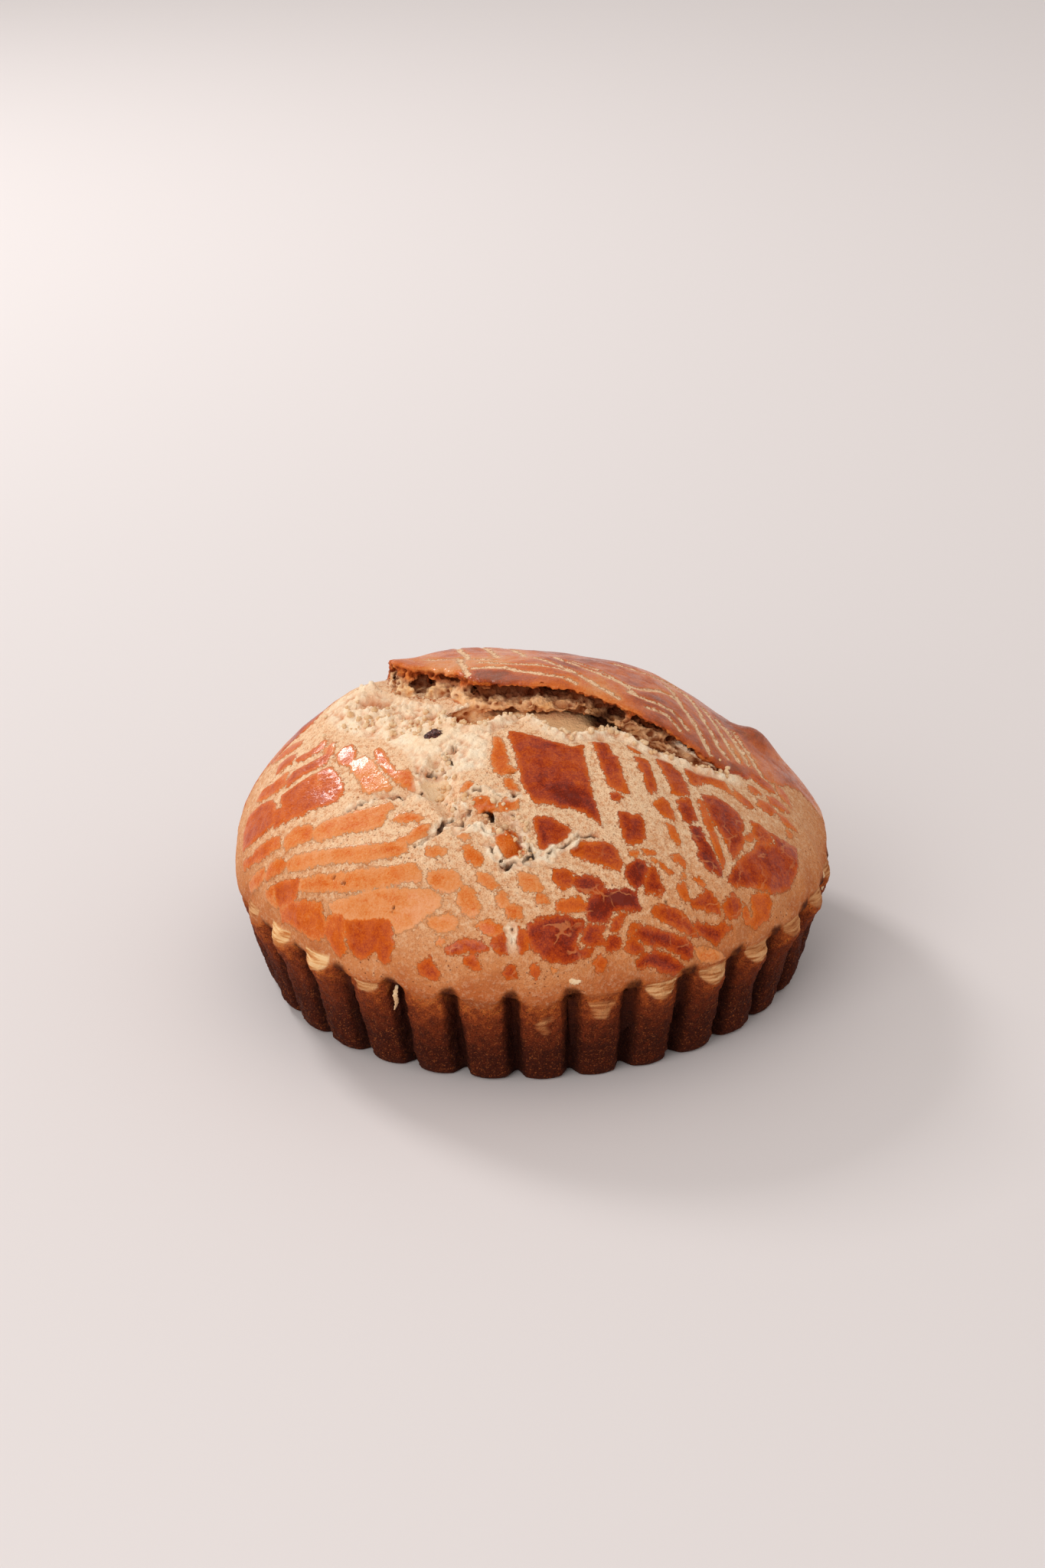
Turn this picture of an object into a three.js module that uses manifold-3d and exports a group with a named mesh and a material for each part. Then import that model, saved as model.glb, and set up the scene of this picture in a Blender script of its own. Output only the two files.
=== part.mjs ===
// A tall kouign-amann turned out of a fluted round tin: a fluted wall that narrows to the foot, a
// domed crust that hangs over it, and a top that split in the oven, so that its back half stands
// up as a lid over a torn wall of crumb. Millimetres, +Z up, the front towards -Y. The origin is
// on the flat foot, on the middle line of the tin.
import * as THREE from 'three';
import { mergeVertices } from 'three/addons/utils/BufferGeometryUtils.js';
import Module from 'manifold-3d';

const wasm = await Module();
wasm.setup();

const { degToRad, lerp, smoothstep } = THREE.MathUtils;

// ---- fluted wall ----
const FLUTES = 32;
const FLUTE_TURN = degToRad(0.7);      // azimuth of the crest nearest the front
const FOOT_CREST_R = 75.5;             // crests at the foot
const RIM_CREST_R = 83.4;              // crests under the dome
const RIM_Z = 31.5;                    // where the dome closes the grooves
const GROOVE_DEPTH = 3;
const GROOVE_HALF = 0.2;               // half of a groove's width, as a share of one flute
const CROWN = 2.3;                     // how far a crest stands out past its own edges
const FOOT_ROUND = 1;                  // rounding of the bottom edge
const WALL_TOP = 35;                   // the wall ends inside the dome
const WALL_LEVELS = [0, 1, 3, 16, 29, WALL_TOP];
// places round one flute, as shares of it from the groove's middle, close together in the groove
const FLUTE_STEPS = [0, 0.08, 0.17, 0.3, 0.5, 0.7, 0.83, 0.92];

// ---- dome ----
const DOME_R = 83.3;
const DOME_RISE = 48;                  // from the rim to the top of the front half
const DOME_FULLNESS = 1.76;            // 2 is an ellipse, less is a straighter slope
const FULLNESS_SWING = 0.26;
const FULL_SIDE = degToRad(-70);       // azimuth of the fullest shoulder
const DOME_COLUMNS = 96;
const DOME_RINGS = 12;
const DOME_LIP = 2.6;                  // how far the crust hangs below the rim line
const LIP_SHORTER = 1.8;               // it hangs less on the left
const SHORT_SIDE = degToRad(-75);
const SHORT_SPREAD = degToRad(38);
const DOME_TUCK = 3.2;                 // how far it turns in under itself
const LIP_ROUND = 1;
const RIM_BULGE = 1.5;                 // the crust is widest this far above the grooves
const DOME_DIMPLES = 0.5;              // slow unevenness of the crust

// ---- lid: the back half, raised most at its left end ----
const LID_RISE = 5.8;                  // at the split, over the front half's level
const LID_LEFT_RISE = 2.6;             // more, at the left end
const LID_LEFT_X = -38;
const LID_FALL = [34, 60];             // x where the rise begins to fade, and where it is gone
const LID_FADE = 4;                    // power of the fade towards the rim
const LID_HINGE = 0.3;                 // share of the rise that is lost towards the back
const LID_HINGE_Y = [-12, 48];
const LID_SETTLE = [50, 95];           // y - x over which the lid's left side settles on the dome
// the lid's edge seen from above, from the left rim along the split to the right rim
const LID_EDGE = [[-48, 80], [-43, 58], [-39, 34], [-36, 12], [-27, 8.5], [-18, 2], [-10, -6],
  [3, -9.6], [19, -11], [29, -15], [43, -17], [54, -17], [66, -8], [96, 6]];
// how far the foot of the torn wall lies in front of that edge, or behind it where it is undercut
const WALL_FOOT = [0, 0, 1, 6, 6.5, 9, 3, 0.5, -1, -1, -1, -0.5, 0, 0];
const LID_EDGE_STEPS = 48;
const LID_BACK = 100;                  // the cutting outline passes behind the cake
const TEAR_DEPTH = 11;                 // from the lid's edge down to the wall's foot
const CRAGS = 0.9;                     // roughness of the torn wall

// ---- torn shoulder left of the lid ----
const TORN_RISE = 4.8;
const TORN_AT = [-47, 14];
const TORN_SPREAD = 13;

// ---- knob of crust on the right shoulder ----
const KNOB_RISE = 6;
const KNOB_AT = [66, 17];
const KNOB_SPREAD = 6;

// ---- trench in front of the torn wall ----
const TRENCH_FRONT = [[-22, -14], [-16, -20], [-9, -19.5], [-2, -15.2], [3, -20], [10, -24],
  [18, -22], [23, -18.6], [29, -21.5], [34, -23], [39, -22.8], [47, -21.4], [54, -18.5]];
const TRENCH_BACK = [[-22, -10], [-16, -7], [-9, -5.5], [-2, -4], [3, -2.5], [10, -2], [18, -3],
  [23, -5], [29, -10.5], [34, -12.5], [39, -14], [47, -17], [54, -17.5]];
const TRENCH_DEPTH = 4.2;
const TRENCH_STEPS = 24;

// ---- smaller cracks in the front crust: [x, y, width] along each ----
const CRACKS = [
  { depth: 3.6, path: [[-25, -32, 4], [-24, -37, 10], [-23, -45, 8], [-19, -52, 6], [-10, -54, 4.5],
    [-5, -57, 4], [-3, -61, 3], [-8, -65, 1]] },
  { depth: 2.2, path: [[-46, -37, 1], [-38, -40, 2.6], [-25, -44, 3]] },
  { depth: 2.2, path: [[-30, -57.5, 1], [-25, -55.5, 2.6], [-19, -52, 3]] },
  { depth: 1.8, path: [[-4, -63, 1.6], [1, -65.7, 2.2], [9, -63, 2], [16, -58, 1]] },
];
const CRACK_STEP = 3;

// ---- broken ledges on the heads of some flutes: [flute from the front, height, how proud] ----
const LEDGES = [[-6, 34, 1.2], [-5, 34, 2], [-4, 33, 2.2], [-3, 29, 1], [1, 26, 0.9],
  [2, 29.5, 2], [3, 29.5, 2.2], [4, 30, 2], [5, 31, 2.2], [6, 32, 2.4],
  [7, 33, 1.8]];
const LEDGE_DROP = 16;                 // the height over which a ledge runs out into its flute
const LEDGE_SLOPE = 6;                 // the height of its slanting top
const LEDGE_SPAN = 0.34;               // half of its width, as a share of one flute
const LEDGE_ARC = 8;
const DOME_INSET = 1.5;                // the crust draws back above a ledge

// ---- currant baked into the pale shoulder ----
const CURRANT = { x: -25, y: -21.2, length: 6.2, width: 4.8, height: 4.4, turn: 20 };
const CURRANT_SUNK = 0.9;              // its middle lies this far under the crust
const CURRANT_GAP = 0.3;
const CURRANT_FOLDS = 5;

// ---- small helpers ----
const azimuth = (x, y) => Math.atan2(x, -y);
const at = (az, r, z) => new THREE.Vector3(r * Math.sin(az), -r * Math.cos(az), z);
const hill = (distance, width) => Math.exp(-((distance / width) ** 2));
const turn = (from, to) => Math.abs(Math.atan2(Math.sin(from - to), Math.cos(from - to)));

function seededRandom(seed) {
  let state = seed;
  return () => {
    state = (state * 1664525 + 1013904223) % 4294967296;
    return state / 4294967296;
  };
}

// A closed body from rings of points, each ring going the same way round, with a fan at each end.
function loft(rings, firstCentre, lastCentre) {
  const count = rings[0].length;
  const points = rings.flat();
  const indices = [];
  for (let ring = 0; ring + 1 < rings.length; ring++) {
    for (let i = 0; i < count; i++) {
      const a = ring * count + i;
      const b = ring * count + (i + 1) % count;
      indices.push(a, b, b + count, a, b + count, a + count);
    }
  }
  const first = points.push(firstCentre) - 1;
  const last = points.push(lastCentre) - 1;
  const lastRing = (rings.length - 1) * count;
  for (let i = 0; i < count; i++) {
    const next = (i + 1) % count;
    indices.push(first, next, i, last, lastRing + i, lastRing + next);
  }
  const geometry = new THREE.BufferGeometry().setFromPoints(points);
  geometry.setIndex(indices);
  return geometry;
}

function centreOf(points) {
  const sum = points.reduce((total, point) => total.add(point), new THREE.Vector3());
  return sum.divideScalar(points.length);
}

function solidOf(geometry) {
  const closed = mergeVertices(geometry, 1e-4);
  return new wasm.Manifold(new wasm.Mesh({
    numProp: 3,
    vertProperties: new Float32Array(closed.attributes.position.array),
    triVerts: new Uint32Array(closed.index.array),
  }));
}

function geometryOf(solid) {
  const mesh = solid.getMesh();
  const geometry = new THREE.BufferGeometry();
  geometry.setAttribute('position', new THREE.BufferAttribute(mesh.vertProperties, 3));
  geometry.setIndex(new THREE.BufferAttribute(mesh.triVerts, 1));
  return mergeVertices(geometry, 1e-4);
}

// Points at even steps along a smooth curve through hand-set ones; each may hold 2 or 3 numbers.
function along(points, steps) {
  const curve = new THREE.CatmullRomCurve3(points.map(([x, y, w = 0]) => new THREE.Vector3(x, y, w)));
  return curve.getPoints(steps);
}

// ---- the forms ----
function fluteRadius(az, z) {
  const pitch = 2 * Math.PI / FLUTES;
  const share = THREE.MathUtils.euclideanModulo((az - FLUTE_TURN) / pitch + 0.5, 1);
  const fromGroove = Math.min(share, 1 - share);
  const groove = GROOVE_DEPTH * (1 - smoothstep(fromGroove, 0, GROOVE_HALF));
  const crown = CROWN * (1 - Math.sin(Math.PI * fromGroove));
  const foot = FOOT_ROUND * Math.max(0, 1 - z / 3) ** 2;
  return lerp(FOOT_CREST_R, RIM_CREST_R, Math.min(z / RIM_Z, 1)) - groove - crown - foot;
}

function fluteAzimuth(flute) {
  return FLUTE_TURN + flute * 2 * Math.PI / FLUTES;
}

// how far the crust draws back at this azimuth, because a ledge shows there
function domeInset(az) {
  const nearest = Math.max(...LEDGES.map(([flute, , proud]) =>
    Math.min(proud / 2, 1) * hill(turn(az, fluteAzimuth(flute)), degToRad(5))));
  return DOME_INSET * nearest;
}

function lipLevel(az) {
  return RIM_Z - DOME_LIP + LIP_SHORTER * hill(turn(az, SHORT_SIDE), SHORT_SPREAD);
}

function fullness(az) {
  return DOME_FULLNESS + FULLNESS_SWING * Math.cos(az - FULL_SIDE);
}

// height of the crust above a place on the plan, with the front and back halves at one level
function crustHeight(x, y) {
  const az = azimuth(x, y);
  const n = fullness(az);
  const out = Math.min(Math.hypot(x, y) / DOME_R, 1);
  const smooth = RIM_Z + RIM_BULGE + DOME_RISE * (1 - out ** n) ** (1 / n);
  const edgeFade = 1 - out ** 6;
  const torn = TORN_RISE * hill(Math.hypot(x - TORN_AT[0], y - TORN_AT[1]), TORN_SPREAD);
  const knob = KNOB_RISE * hill(Math.hypot(x - KNOB_AT[0], y - KNOB_AT[1]), KNOB_SPREAD);
  const dimples = DOME_DIMPLES * (Math.sin(x / 9 + 1) * Math.cos(y / 11) + Math.sin((x - y) / 17));
  return smooth + edgeFade * (torn + knob + dimples);
}

function lidLift(x, y) {
  const out = Math.min(Math.hypot(x, y) / DOME_R, 1);
  const left = Math.max(0, x / LID_LEFT_X) ** 1.5;
  const rise = LID_RISE * (1 - smoothstep(x, ...LID_FALL)) + LID_LEFT_RISE * Math.min(left, 1.2);
  const hinged = 1 - LID_HINGE * smoothstep(y, ...LID_HINGE_Y);
  const settled = 1 - smoothstep(y - x, ...LID_SETTLE);
  return rise * (1 - out ** LID_FADE) * hinged * settled;
}

function flutedWall() {
  const places = [];
  for (let flute = 0; flute < FLUTES; flute++) {
    for (const step of FLUTE_STEPS) {
      places.push(fluteAzimuth(flute - 0.5 + step));
    }
  }
  const rings = WALL_LEVELS.map((z) => places.map((az) => {
    const drawnIn = z > RIM_Z ? DOME_INSET + 1 : 0;
    return at(az, fluteRadius(az, z) - drawnIn, z);
  }));
  return loft(rings, at(0, 0, 0), at(0, 0, WALL_TOP));
}

// the whole dome with its crust raised by lift(x, y), tucked under itself at the rim
function dome(lift) {
  const ring = (place) => Array.from({ length: DOME_COLUMNS }, (_, column) =>
    place(2 * Math.PI * column / DOME_COLUMNS));
  const rings = [
    ring((az) => at(az, DOME_R - domeInset(az) - DOME_TUCK, lipLevel(az))),
    ring((az) => at(az, DOME_R - domeInset(az) - LIP_ROUND, lipLevel(az) + LIP_ROUND / 2)),
  ];
  for (let step = 0; step < DOME_RINGS; step++) {
    const rise = Math.PI / 2 * step / DOME_RINGS;
    rings.push(ring((az) => {
      const out = Math.cos(rise) ** (2 / fullness(az));
      const r = (DOME_R - domeInset(az) * out ** 8) * out;
      const plan = at(az, DOME_R * out, 0);
      return at(az, r, crustHeight(plan.x, plan.y) + lift(plan.x, plan.y));
    }));
  }
  return loft(rings, at(0, 0, RIM_Z - DOME_LIP), at(0, 0, crustHeight(0, 0) + lift(0, 0)));
}

// everything behind the lid's edge, with the torn wall of crumb as its front side
function behindLidEdge() {
  const random = seededRandom(11);
  const crag = () => CRAGS * (2 * random() - 1);
  const edge = along(LID_EDGE.map(([x, y], i) => [x, y, WALL_FOOT[i]]), LID_EDGE_STEPS);
  edge.push(new THREE.Vector3(LID_BACK, LID_BACK, 0), new THREE.Vector3(-LID_BACK, LID_BACK, 0));
  const crest = (p) => crustHeight(p.x, p.y) + lidLift(p.x, p.y);
  const levels = [
    (p) => [1, crest(p) - TEAR_DEPTH - 20],
    (p) => [1, crest(p) - TEAR_DEPTH],
    (p) => [0.62, crest(p) - 0.6 * TEAR_DEPTH],
    (p) => [0.3, crest(p) - 0.3 * TEAR_DEPTH],
    (p) => [0, crest(p) - 0.6],
    (p) => [0, crest(p) + 20],
  ];
  const rings = levels.map((level) => edge.map((p) => {
    const [lean, z] = level(p);
    return new THREE.Vector3(p.x + crag(), p.y - p.z * lean + crag(), z);
  }));
  return loft(rings, new THREE.Vector3(0, 50, 40), new THREE.Vector3(0, 50, 110));
}

function trench() {
  const front = along(TRENCH_FRONT, TRENCH_STEPS);
  const back = along(TRENCH_BACK, TRENCH_STEPS);
  const rings = front.map((lip, i) => {
    const foot = back[i];
    const open = Math.sin(Math.PI * (i + 0.4) / (TRENCH_STEPS + 0.8)) ** 0.5;
    const floor = crustHeight(foot.x, foot.y) - TRENCH_DEPTH * open;
    const edge = crustHeight(lip.x, lip.y);
    return [
      new THREE.Vector3(lip.x, lip.y, edge + 0.4),
      new THREE.Vector3(lip.x, lip.y + 2, edge - 0.7 * TRENCH_DEPTH * open),
      new THREE.Vector3(foot.x, foot.y, floor),
      new THREE.Vector3(foot.x, foot.y + 0.5, floor + 2.5 * open),
      new THREE.Vector3(lip.x, lerp(lip.y, foot.y, 0.5), edge + 3 * open),
    ];
  });
  return loft(rings, centreOf(rings[0]), centreOf(rings.at(-1)));
}

// a wedge that follows the crust along a crack
function crack({ depth, path }) {
  const length = path.length * CRACK_STEP;
  const line = along(path, length);
  const rings = line.map((p, i) => {
    const before = line[Math.max(i - 1, 0)];
    const after = line[Math.min(i + 1, length)];
    const across = new THREE.Vector3(before.y - after.y, after.x - before.x, 0).setLength(p.z / 2);
    const middle = new THREE.Vector3(p.x, p.y, 0);
    const left = middle.clone().add(across);
    const right = middle.clone().sub(across);
    const top = (q, rise) => q.setZ(crustHeight(q.x, q.y) + rise);
    const cut = depth * Math.min(1, p.z / 3);
    return [top(left, 0.6), top(right, 0.6), top(middle, -cut)];
  });
  return loft(rings, centreOf(rings[0]), centreOf(rings.at(-1)));
}

// the head of one flute, broken off flat under the crust
function ledge([flute, height, proud]) {
  const middle = fluteAzimuth(flute);
  const half = LEDGE_SPAN * 2 * Math.PI / FLUTES;
  const section = (z, out) => {
    const arc = Array.from({ length: LEDGE_ARC + 1 }, (_, i) => {
      const side = 2 * i / LEDGE_ARC - 1;
      const round = Math.sqrt(Math.max(0, 1 - side ** 2));
      return at(middle + side * half, fluteRadius(middle, z) - 3.5 + (out + 3.5) * round, z);
    });
    return [at(middle + half / 2, 72, z), at(middle - half / 2, 72, z), ...arc];
  };
  const rings = [
    section(height - LEDGE_DROP, -0.8),
    section(height - LEDGE_SLOPE, proud),
    section(height - LEDGE_SLOPE / 2, 0.7 * proud),
    section(height, -0.8),
  ];
  return loft(rings, centreOf(rings[0]), centreOf(rings.at(-1)));
}

function currant(grow) {
  const { length, width, height, turn } = CURRANT;
  const geometry = new THREE.SphereGeometry(1, 14, 9);
  geometry.deleteAttribute('normal');
  geometry.deleteAttribute('uv');
  const position = geometry.attributes.position;
  for (let i = 0; i < position.count; i++) {
    const p = new THREE.Vector3().fromBufferAttribute(position, i);
    const fold = 1 + 0.07 * Math.sin(CURRANT_FOLDS * Math.atan2(p.z, p.x)) * (1 - p.y ** 2);
    p.multiplyScalar(fold);
    position.setXYZ(i, p.x * (length / 2 + grow), p.y * (width / 2 + grow), p.z * (height / 2 + grow));
  }
  geometry.rotateZ(degToRad(turn));
  const z = crustHeight(CURRANT.x, CURRANT.y) - CURRANT_SUNK;
  geometry.translate(CURRANT.x, CURRANT.y, z);
  return geometry;
}

function cake() {
  const lid = solidOf(dome(lidLift)).intersect(solidOf(behindLidEdge()));
  let body = solidOf(flutedWall()).add(solidOf(dome(() => 0))).add(lid);
  for (const one of LEDGES) {
    body = body.add(solidOf(ledge(one)));
  }
  body = body.subtract(solidOf(trench()));
  for (const one of CRACKS) {
    body = body.subtract(solidOf(crack(one)));
  }
  return body.subtract(solidOf(currant(CURRANT_GAP)));
}

function namedMesh(name, geometry, color, roughness) {
  const flat = geometry.toNonIndexed();
  flat.computeVertexNormals();
  const material = new THREE.MeshStandardMaterial({ color, roughness, metalness: 0 });
  const mesh = new THREE.Mesh(flat, material);
  mesh.name = name;
  return mesh;
}

const group = new THREE.Group();
group.add(namedMesh('cake', geometryOf(cake()), 0xc88a55, 0.6));
group.add(namedMesh('currant', currant(0), 0x2a1a16, 0.5));
export default group;
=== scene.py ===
import itertools
import math

import bmesh
import bpy
import numpy as np
from bpy.props import FloatProperty, FloatVectorProperty, IntProperty, PointerProperty
from mathutils import Matrix, Vector
from mathutils.bvhtree import BVHTree


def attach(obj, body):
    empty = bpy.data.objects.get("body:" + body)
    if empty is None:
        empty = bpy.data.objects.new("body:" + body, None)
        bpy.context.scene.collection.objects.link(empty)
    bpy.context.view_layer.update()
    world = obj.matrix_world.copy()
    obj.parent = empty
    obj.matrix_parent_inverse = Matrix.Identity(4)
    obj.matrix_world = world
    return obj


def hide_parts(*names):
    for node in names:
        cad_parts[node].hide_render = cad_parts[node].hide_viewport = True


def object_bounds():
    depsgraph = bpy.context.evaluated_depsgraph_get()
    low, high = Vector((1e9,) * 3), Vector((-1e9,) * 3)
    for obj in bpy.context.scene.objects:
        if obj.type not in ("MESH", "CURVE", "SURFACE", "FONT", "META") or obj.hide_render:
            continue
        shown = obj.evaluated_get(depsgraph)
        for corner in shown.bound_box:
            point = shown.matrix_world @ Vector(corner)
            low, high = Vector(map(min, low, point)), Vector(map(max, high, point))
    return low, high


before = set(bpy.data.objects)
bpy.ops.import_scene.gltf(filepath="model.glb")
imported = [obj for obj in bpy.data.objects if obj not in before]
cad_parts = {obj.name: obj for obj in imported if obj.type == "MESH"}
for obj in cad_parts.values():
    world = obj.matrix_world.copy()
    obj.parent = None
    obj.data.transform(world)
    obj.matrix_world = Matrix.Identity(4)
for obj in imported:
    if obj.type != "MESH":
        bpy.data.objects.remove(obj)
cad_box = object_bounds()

bl_info = {
    "name": "Kouign-amann from a fluted tin",
    "version": (1, 0, 0),
    "blender": (4, 5, 0),
    "location": "3D View > Sidebar > Pastry",
    "description": "Builds a tall, split kouign-amann with a scored and glazed crust",
    "category": "Object",
}

MM = 0.001
CORNERS = tuple(itertools.product((0, 1), repeat=3))
NEIGHBOURS = tuple(itertools.product((-1, 0, 1), repeat=3))


# ---- small helpers, all in millimetres ----
def ease(value, start, end):
    """0 at the start, 1 at the end, and a smooth way between them."""
    share = np.clip((value - start) / (end - start), 0, 1)
    return share * share * (3 - 2 * share)


def hill(distance, width):
    """1 where the distance is 0, falling smoothly to 0 over about the width."""
    return np.exp(-((distance / width) ** 2))


def turn_between(a, b):
    return np.abs(np.arctan2(np.sin(a - b), np.cos(a - b)))


def soft_min(a, b, blend):
    near = np.maximum(blend - np.abs(a - b), 0) / blend
    return np.minimum(a, b) - near * near * blend / 4


def soft_max(a, b, blend):
    return -soft_min(-a, -b, blend)


def smooth_curve(points, steps):
    """Even steps of a centripetal curve through given points of two or three numbers."""
    points = np.array([list(p) + [0] * (3 - len(p)) for p in points], float)
    last = len(points) - 1
    found = []
    for step in range(steps + 1):
        place = last * step / steps
        k = min(int(place), last - 1)
        share = place - k
        p1, p2 = points[k], points[k + 1]
        p0 = points[k - 1] if k > 0 else 2 * p1 - p2
        p3 = points[k + 2] if k + 2 <= last else 2 * p2 - p1
        spans = ((p0, p1), (p1, p2), (p2, p3))
        d0, d1, d2 = (max(float(np.linalg.norm(b - a)) ** 0.5, 1e-4) for a, b in spans)
        t1 = ((p1 - p0) / d0 - (p2 - p0) / (d0 + d1) + (p2 - p1) / d1) * d1
        t2 = ((p2 - p1) / d1 - (p3 - p1) / (d1 + d2) + (p3 - p2) / d2) * d1
        squared = 3 * (p2 - p1) - 2 * t1 - t2
        cubed = 2 * (p1 - p2) + t1 + t2
        found.append(p1 + t1 * share + squared * share**2 + cubed * share**3)
    return np.array(found)


def line_distance(px, py, line, closed=False):
    """Distance from each place to a line, and how far along the line the nearest place lies."""
    best = np.full(px.shape, 1e9)
    along = np.zeros(px.shape)
    count = len(line)
    for k in range(count if closed else count - 1):
        ax, ay = line[k][:2]
        bx, by = line[(k + 1) % count][:2]
        dx, dy = bx - ax, by - ay
        share = np.clip(((px - ax) * dx + (py - ay) * dy) / max(dx * dx + dy * dy, 1e-9), 0, 1)
        away = np.hypot(px - ax - share * dx, py - ay - share * dy)
        nearer = away < best
        best[nearer] = away[nearer]
        along[nearer] = k + share[nearer]
    return best, along


def outline_distance(px, py, outline):
    """Distance to a closed outline, negative inside it."""
    away, _ = line_distance(px, py, outline, closed=True)
    inside = np.zeros(px.shape, bool)
    count = len(outline)
    for k in range(count):
        ax, ay = outline[k][:2]
        bx, by = outline[(k + 1) % count][:2]
        if ay == by:
            continue
        crosses = (ay > py) != (by > py)
        inside ^= crosses & (px < (bx - ax) * (py - ay) / (by - ay) + ax)
    return np.where(inside, -away, away)


def near_line(u, v, line, margin):
    """The places that lie in the box round a line, with a margin."""
    low, high = line.min(0) - margin, line.max(0) + margin
    return np.flatnonzero((u > low[0]) & (u < high[0]) & (v > low[1]) & (v < high[1]))


def corner_weight(share, corner):
    """How much one corner of a grid cell counts at places inside the cell."""
    a, b, c = (share[:, axis] if far else 1 - share[:, axis] for axis, far in enumerate(corner))
    return a * b * c


class Noise:
    """Smooth three-dimensional noise on a repeating lattice, the same each time for one seed."""

    SIDE = 48
    LUMPS_START, BUBBLES_START, OCTAVE_STEP = 7.3, 5.1, 31.7

    def __init__(self, seed):
        rng = np.random.default_rng(seed)
        self.lattice = rng.uniform(-1, 1, (self.SIDE,) * 3).astype(np.float32)
        self.seeds = rng.uniform(0, 1, (self.SIDE,) * 3 + (3,)).astype(np.float32)

    def lumps(self, points, size):
        """Lumps of about the given size, from -1 to 1."""
        place = points / size + self.LUMPS_START
        cell = np.floor(place).astype(np.int64)
        share = place - cell
        share = share * share * (3 - 2 * share)
        total = 0
        for corner in CORNERS:
            a, b, c = ((cell + corner) % self.SIDE).T
            total = total + corner_weight(share, corner) * self.lattice[a, b, c]
        return total

    def fractal(self, points, size, octaves=3, fade=0.5):
        """Lumps on lumps, each half as large as the ones before."""
        total, strength = 0, 1.0
        for octave in range(octaves):
            total = total + strength * self.lumps(points + self.OCTAVE_STEP * octave, size / 2**octave)
            strength *= fade
        return total

    def bubbles(self, points, size):
        """Distance to the nearest of many scattered bubble centres, as a share of size."""
        place = points / size + self.BUBBLES_START
        cell = np.floor(place).astype(np.int64)
        best = np.full(len(points), 9.0)
        for offset in NEIGHBOURS:
            other = cell + offset
            a, b, c = (other % self.SIDE).T
            gap = other + self.seeds[a, b, c] - place
            best = np.minimum(best, np.einsum("ij,ij->i", gap, gap))
        return np.sqrt(best)

    def crumbs(self, points, size):
        """Rounded crumbs of about the given size: 0.5 on top of them and about -0.5 between them."""
        return 0.5 - self.bubbles(points, size)


def surface_of(field, corner, pitch):
    """Quads over the zero surface of a field that is negative inside the solid."""
    inside = field < 0
    nx, ny, nz = field.shape
    count = np.zeros((nx - 1, ny - 1, nz - 1), np.int8)
    for i, j, k in CORNERS:
        count += inside[i:nx - 1 + i, j:ny - 1 + j, k:nz - 1 + k]
    cells = np.argwhere((count > 0) & (count < 8))
    index = np.full(count.shape, -1, np.int32)
    index[tuple(cells.T)] = np.arange(len(cells))
    total = np.zeros((len(cells), 3))
    hits = np.zeros(len(cells))
    units = np.eye(3, dtype=int)
    for axis in range(3):
        side, up = units[(axis + 1) % 3], units[(axis + 2) % 3]
        for offset in (0 * side, side, up, side + up):
            start = cells + offset
            first = field[tuple(start.T)]
            second = field[tuple((start + units[axis]).T)]
            crossed = (first < 0) != (second < 0)
            share = first[crossed] / (first[crossed] - second[crossed])
            total[crossed] += offset + share[:, None] * units[axis]
            hits[crossed] += 1
    points = corner + pitch * (cells + total / hits[:, None])
    quads = []
    for axis in range(3):
        side, up = units[(axis + 1) % 3], units[(axis + 2) % 3]
        low = np.take(inside, range(0, field.shape[axis] - 1), axis)
        high = np.take(inside, range(1, field.shape[axis]), axis)
        edges = np.argwhere(low != high)
        ok = np.ones(len(edges), bool)
        for other in ((axis + 1) % 3, (axis + 2) % 3):
            ok &= (edges[:, other] > 0) & (edges[:, other] < field.shape[other] - 1)
        edges = edges[ok]
        around = [index[tuple((edges - back).T)] for back in (side + up, up, 0 * up, side)]
        quad = np.stack(around, 1)
        outward = low[tuple(edges.T)]
        quad[~outward] = quad[~outward][:, ::-1]
        quads.append(quad)
    return points, np.concatenate(quads)


def sample(field, corner, pitch, points):
    """The field's value at any places, straight between its grid points."""
    place = (points - corner) / pitch
    cell = np.clip(np.floor(place).astype(int), 0, np.array(field.shape) - 2)
    share = np.clip(place - cell, 0, 1)
    total = 0
    for step in CORNERS:
        a, b, c = (cell + step).T
        total = total + corner_weight(share, step) * field[a, b, c]
    return total


# ---- the cake's own measures, as in its solid ----
FLUTES = 32
PITCH_ANGLE = 2 * math.pi / FLUTES
FLUTE_TURN = math.radians(0.7)
FOOT_CREST_R, RIM_CREST_R, RIM_Z = 75.5, 83.4, 31.5
GROOVE_DEPTH, GROOVE_HALF, CROWN, FOOT_ROUND = 3.0, 0.20, 2.3, 1.0
DOME_R, DOME_RISE, RIM_BULGE = 83.3, 48.0, 1.5
DOME_FULLNESS, FULLNESS_SWING, FULL_SIDE = 1.76, 0.26, math.radians(-70)
DOME_LIP, LIP_SHORTER, SHORT_SIDE, SHORT_SPREAD = 2.6, 1.8, math.radians(-75), math.radians(38)
DOME_DIMPLES, DOME_INSET = 0.5, 1.5
LID_RISE, LID_LEFT_RISE, LID_LEFT_X, LID_FALL, LID_FADE = 5.8, 2.6, -38, (34, 60), 4
LID_HINGE, LID_HINGE_Y, LID_SETTLE = 0.3, (-12, 48), (50, 95)
LID_EDGE = [(-48, 80), (-43, 58), (-39, 34), (-36, 12), (-27, 8.5), (-18, 2), (-10, -6),
            (3, -9.6), (19, -11), (29, -15), (43, -17), (54, -17), (66, -8), (96, 6)]
WALL_FOOT = [0, 0, 1, 6, 6.5, 9, 3, 0.5, -1, -1, -1, -0.5, 0, 0]
TEAR_DEPTH = 11.0
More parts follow.
